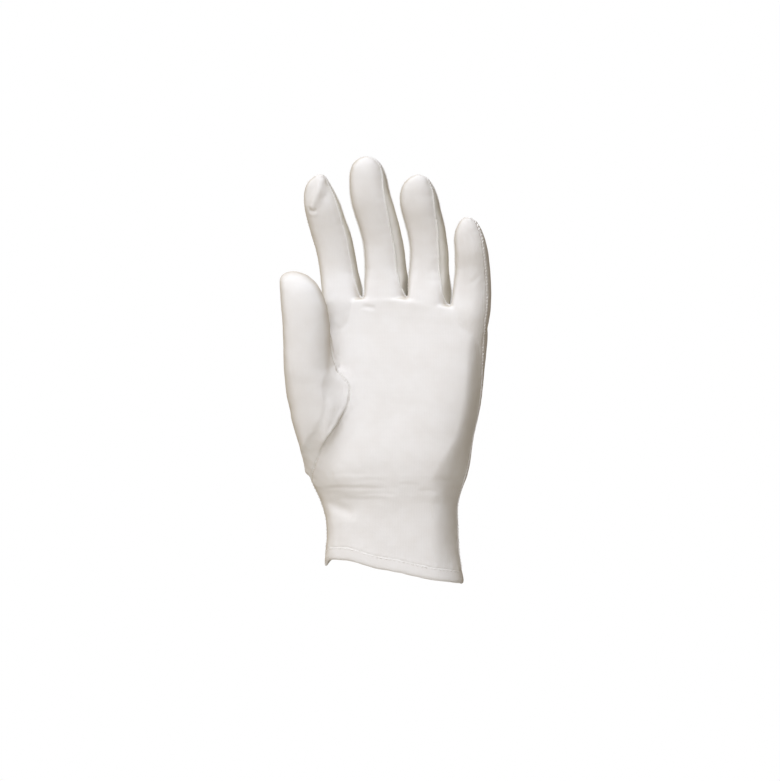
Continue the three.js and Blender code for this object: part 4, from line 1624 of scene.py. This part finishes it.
@dataclass
class Glove:
    """The whole glove: its skin cut into pieces, the hem, the seams and the stitches."""

    form: GloveForm = field(default_factory=GloveForm)
    hem: CuffHem = field(default_factory=CuffHem)
    seed: int = 11

    # the strips' knit is painted a little darker and warmer than the rest, as shade between the fingers: its
    # lighter and darker mottle
    STRIP_LIGHT, STRIP_SHADE = (0.83, 0.815, 0.77, 1.0), (0.8, 0.785, 0.735, 1.0)
    STRIP_DRAWN = (-0.5, -0.42, -0.25, -0.12, 0.0)
    SHORTEST_RUN = 5

    def build(self) -> None:
        """Cuts, sews and dresses every piece."""
        rng = np.random.default_rng(self.seed)
        knit = CottonFinish("cotton_knit").material()
        # a copy of the knit with painted shade, for the strips between the fingers
        shaded_strip_knit = CottonFinish("cotton_strip", self.STRIP_LIGHT, self.STRIP_SHADE).material()
        hem_knit = CottonFinish("cotton_hem").material()
        thread = ThreadFinish().material()
        skin = self.form.build()
        LOG.info("skin: %d triangles", len(skin.faces))
        skin, _ = skin.split(SeamLines.above_hem(skin.points), Line.HEM)
        thumb, skin = skin.split(SeamLines.thumb(skin.points), Line.THUMB)
        strips = {}
        for left, right, crotch in STRIPS:
            strip, skin = skin.split(SeamLines.strip(skin.points, left, right, crotch), Line.STRIP)
            strips[f"{left}_{right}"] = strip.largest()
        back, palm = skin.split(SeamLines.back(skin.points), Line.SIDE)
        thumb, back, palm = thumb.largest(), back.largest(), palm.largest()
        seams = [Seam("seam_thumb", self.runs(thumb, Line.NONE), welt=0.26, sink=0.3)]
        seams += [Seam("seam_" + pair, self.runs(strip, Line.NONE)) for pair, strip in strips.items()]
        seams.append(Seam("seam_side", self.runs(palm, Line.SIDE), spacing=1.9, thread=0.27, reach=1.0))
        row = [self.hem.stitch_line()]
        seams.append(Seam("hem_stitches", row, Stitch.RUN, spacing=2.6, thread=0.18))
        for name, piece in (("palm_panel", palm), ("back_panel", back), ("thumb", thumb)):
            ClothPiece(name, piece).build("cotton_knit", knit)
        for pair, strip in strips.items():
            piece = ClothPiece("fourchette_" + pair, strip, self.STRIP_DRAWN, 1.0)
            piece.build("cotton_strip", shaded_strip_knit)
        self.hem.build(hem_knit)
        for seam in seams:
            seam.build(thread, rng)

    @classmethod
    def runs(cls, skin: Skin, mark: Line) -> list:
        """A piece's edge along one seam as places, directions out and whether it closes."""
        found = [run for run in skin.border(mark) if len(run) >= cls.SHORTEST_RUN]
        return [(skin.points[run], skin.outward[run], bool(run[0] == run[-1])) for run in found]


@dataclass
class Studio:
    """Camera, soft lights, pale floor and surroundings."""

    lens: float = 600.0
    sensor: float = 36.0
    distance: float = 7.298
    aim_right: float = -2.24
    aim_up: float = 103.45
    # the soft lights, each as the light method takes it
    lights: tuple = (
        ("key", (-0.444, 0.952, 1.819), 1.2, 36.0, (0.815, 0.885, 1.0)),
        ("side", (-1.318, 1.106, 1.205), 1.2, 4.8, (0.61, 0.7, 1.0)),
        ("front", (0.0, 1.72, 1.205), 1.2, 11.0, (0.88, 0.88, 1.0)),
        ("behind", (-0.1, -2.4, -0.2), 0.6, 34.0, (0.8, 0.88, 1.0)),
    )
    # the surroundings as they are seen, and the colour and fall of the light that they give
    backdrop: tuple = (1.0, 1.0, 1.0, 1.0)
    glow: tuple = (1.0, 0.83, 0.55, 1.0)
    glow_fall: tuple = (-0.1, 0.9, 0.46, 0.12)
    floor_color: tuple = (0.74, 0.74, 0.73, 1.0)
    floor_drop: float = 0.35
    floor_radius: float = 2.4
    floor_sides: int = 64
    floor_fade: tuple = (0.5, 2.2, 1.0, 0.0)

    RANGE = ("From Min", "From Max", "To Min", "To Max")

    @staticmethod
    def placed(name: str, data: bpy.types.ID, at: np.ndarray, direction: np.ndarray) -> bpy.types.Object:
        """Puts a camera or a light into the scene.

        Args:
            name: its name.
            data: the camera's or the light's own settings.
            at: where it stands, in metres.
            direction: where it looks.

        Returns:
            The new object.
        """
        made = linked(name, data)
        made.location = Vector(at)
        made.rotation_mode = "QUATERNION"
        made.rotation_quaternion = Vector(direction).to_track_quat("-Z", "Y")
        return made

    def camera(self) -> None:
        """Sets the camera at the photograph's viewing angle."""
        right, towards = facing(Seen.PALM.value)
        aim = (self.aim_right * right + np.array([0, 0, self.aim_up])) * MM
        data = bpy.data.cameras.new("camera")
        data.lens, data.sensor_width = self.lens, self.sensor
        data.clip_end = 100.0
        bpy.context.scene.camera = self.placed("camera", data, aim + self.distance * towards, -towards)

    def light(self, name: str, place: tuple, size: float, power: float, color: tuple) -> None:
        """Adds one of the soft lights, aimed at the glove's middle.

        Args:
            name: the light's name.
            place: metres to the right of, towards and above the glove's middle, as the camera sees it.
            size: its side in metres.
            power: its power in watts.
            color: its colour.
        """
        right, towards = facing(Seen.PALM.value)
        centre = np.array([0, 0, self.aim_up * MM])
        at = centre + place[0] * right + place[1] * towards + np.array([0, 0, place[2]])
        data = bpy.data.lights.new(name, "AREA")
        data.shape, data.size = "SQUARE", size
        data.energy, data.color = power, color
        self.placed(name, data, at, centre - at)

    def world(self) -> None:
        """Near-white surroundings that light the glove only a little."""
        world = bpy.data.worlds.new("surroundings")
        bpy.context.scene.world = world
        world.use_nodes = True
        world.node_tree.nodes.clear()
        tree = NodeTree(world.node_tree)
        seen = tree.add("ShaderNodeBackground", {"Color": self.backdrop, "Strength": 1.0})
        lit = tree.add("ShaderNodeBackground", {"Color": self.glow})
        place = tree.add("ShaderNodeTexCoord")
        axes = tree.add("ShaderNodeSeparateXYZ")
        fall = tree.add("ShaderNodeMapRange", dict(zip(self.RANGE, self.glow_fall)))
        path = tree.add("ShaderNodeLightPath")
        mix = tree.add("ShaderNodeMixShader")
        out = tree.add("ShaderNodeOutputWorld")
        tree.join(
            (place, "Generated", axes, 0),
            (axes, "X", fall, "Value"),
            (fall, "Result", lit, "Strength"),
            (path, "Is Camera Ray", mix, 0),
            (lit, 0, mix, 1),
            (seen, 0, mix, 2),
            (mix, 0, out, "Surface"),
        )

    def floor(self) -> None:
        """A pale round floor well below the glove, which fades out at its rim."""
        surface = {"Base Color": self.floor_color, "Roughness": 0.9}
        material, tree, shader = NodeTree.of_material("pale_floor", surface)
        place = tree.add("ShaderNodeTexCoord")
        away = tree.add("ShaderNodeVectorMath")
        away.operation = "LENGTH"
        fade = tree.add("ShaderNodeMapRange")
        fade.interpolation_type = "SMOOTHSTEP"
        tree.fill(fade, dict(zip(self.RANGE, self.floor_fade)))
        tree.join(
            (place, "Object", away, 0),
            (away, "Value", fade, "Value"),
            (fade, "Result", shader, "Alpha"),
        )
        angles = round_angles(self.floor_sides)
        across, along = self.floor_radius * np.cos(angles), self.floor_radius * np.sin(angles)
        ring = [(x, y, -self.floor_drop) for x, y in zip(across, along)]
        mesh = bpy.data.meshes.new("floor")
        mesh.from_pydata(ring, [], [list(range(self.floor_sides))])
        mesh.materials.append(material)
        made = linked("floor", mesh)

    def build(self) -> None:
        """Sets up everything round the glove."""
        self.camera()
        self.world()
        self.floor()
        for settings in self.lights:
            self.light(*settings)
        bpy.context.scene.view_settings.view_transform = "Standard"


def main() -> None:
    """Builds the studio and the glove."""
    logging.basicConfig(level=logging.INFO, format="%(name)s %(message)s")
    Studio().build()
    Glove().build()


if __name__ == "__main__":
    main()
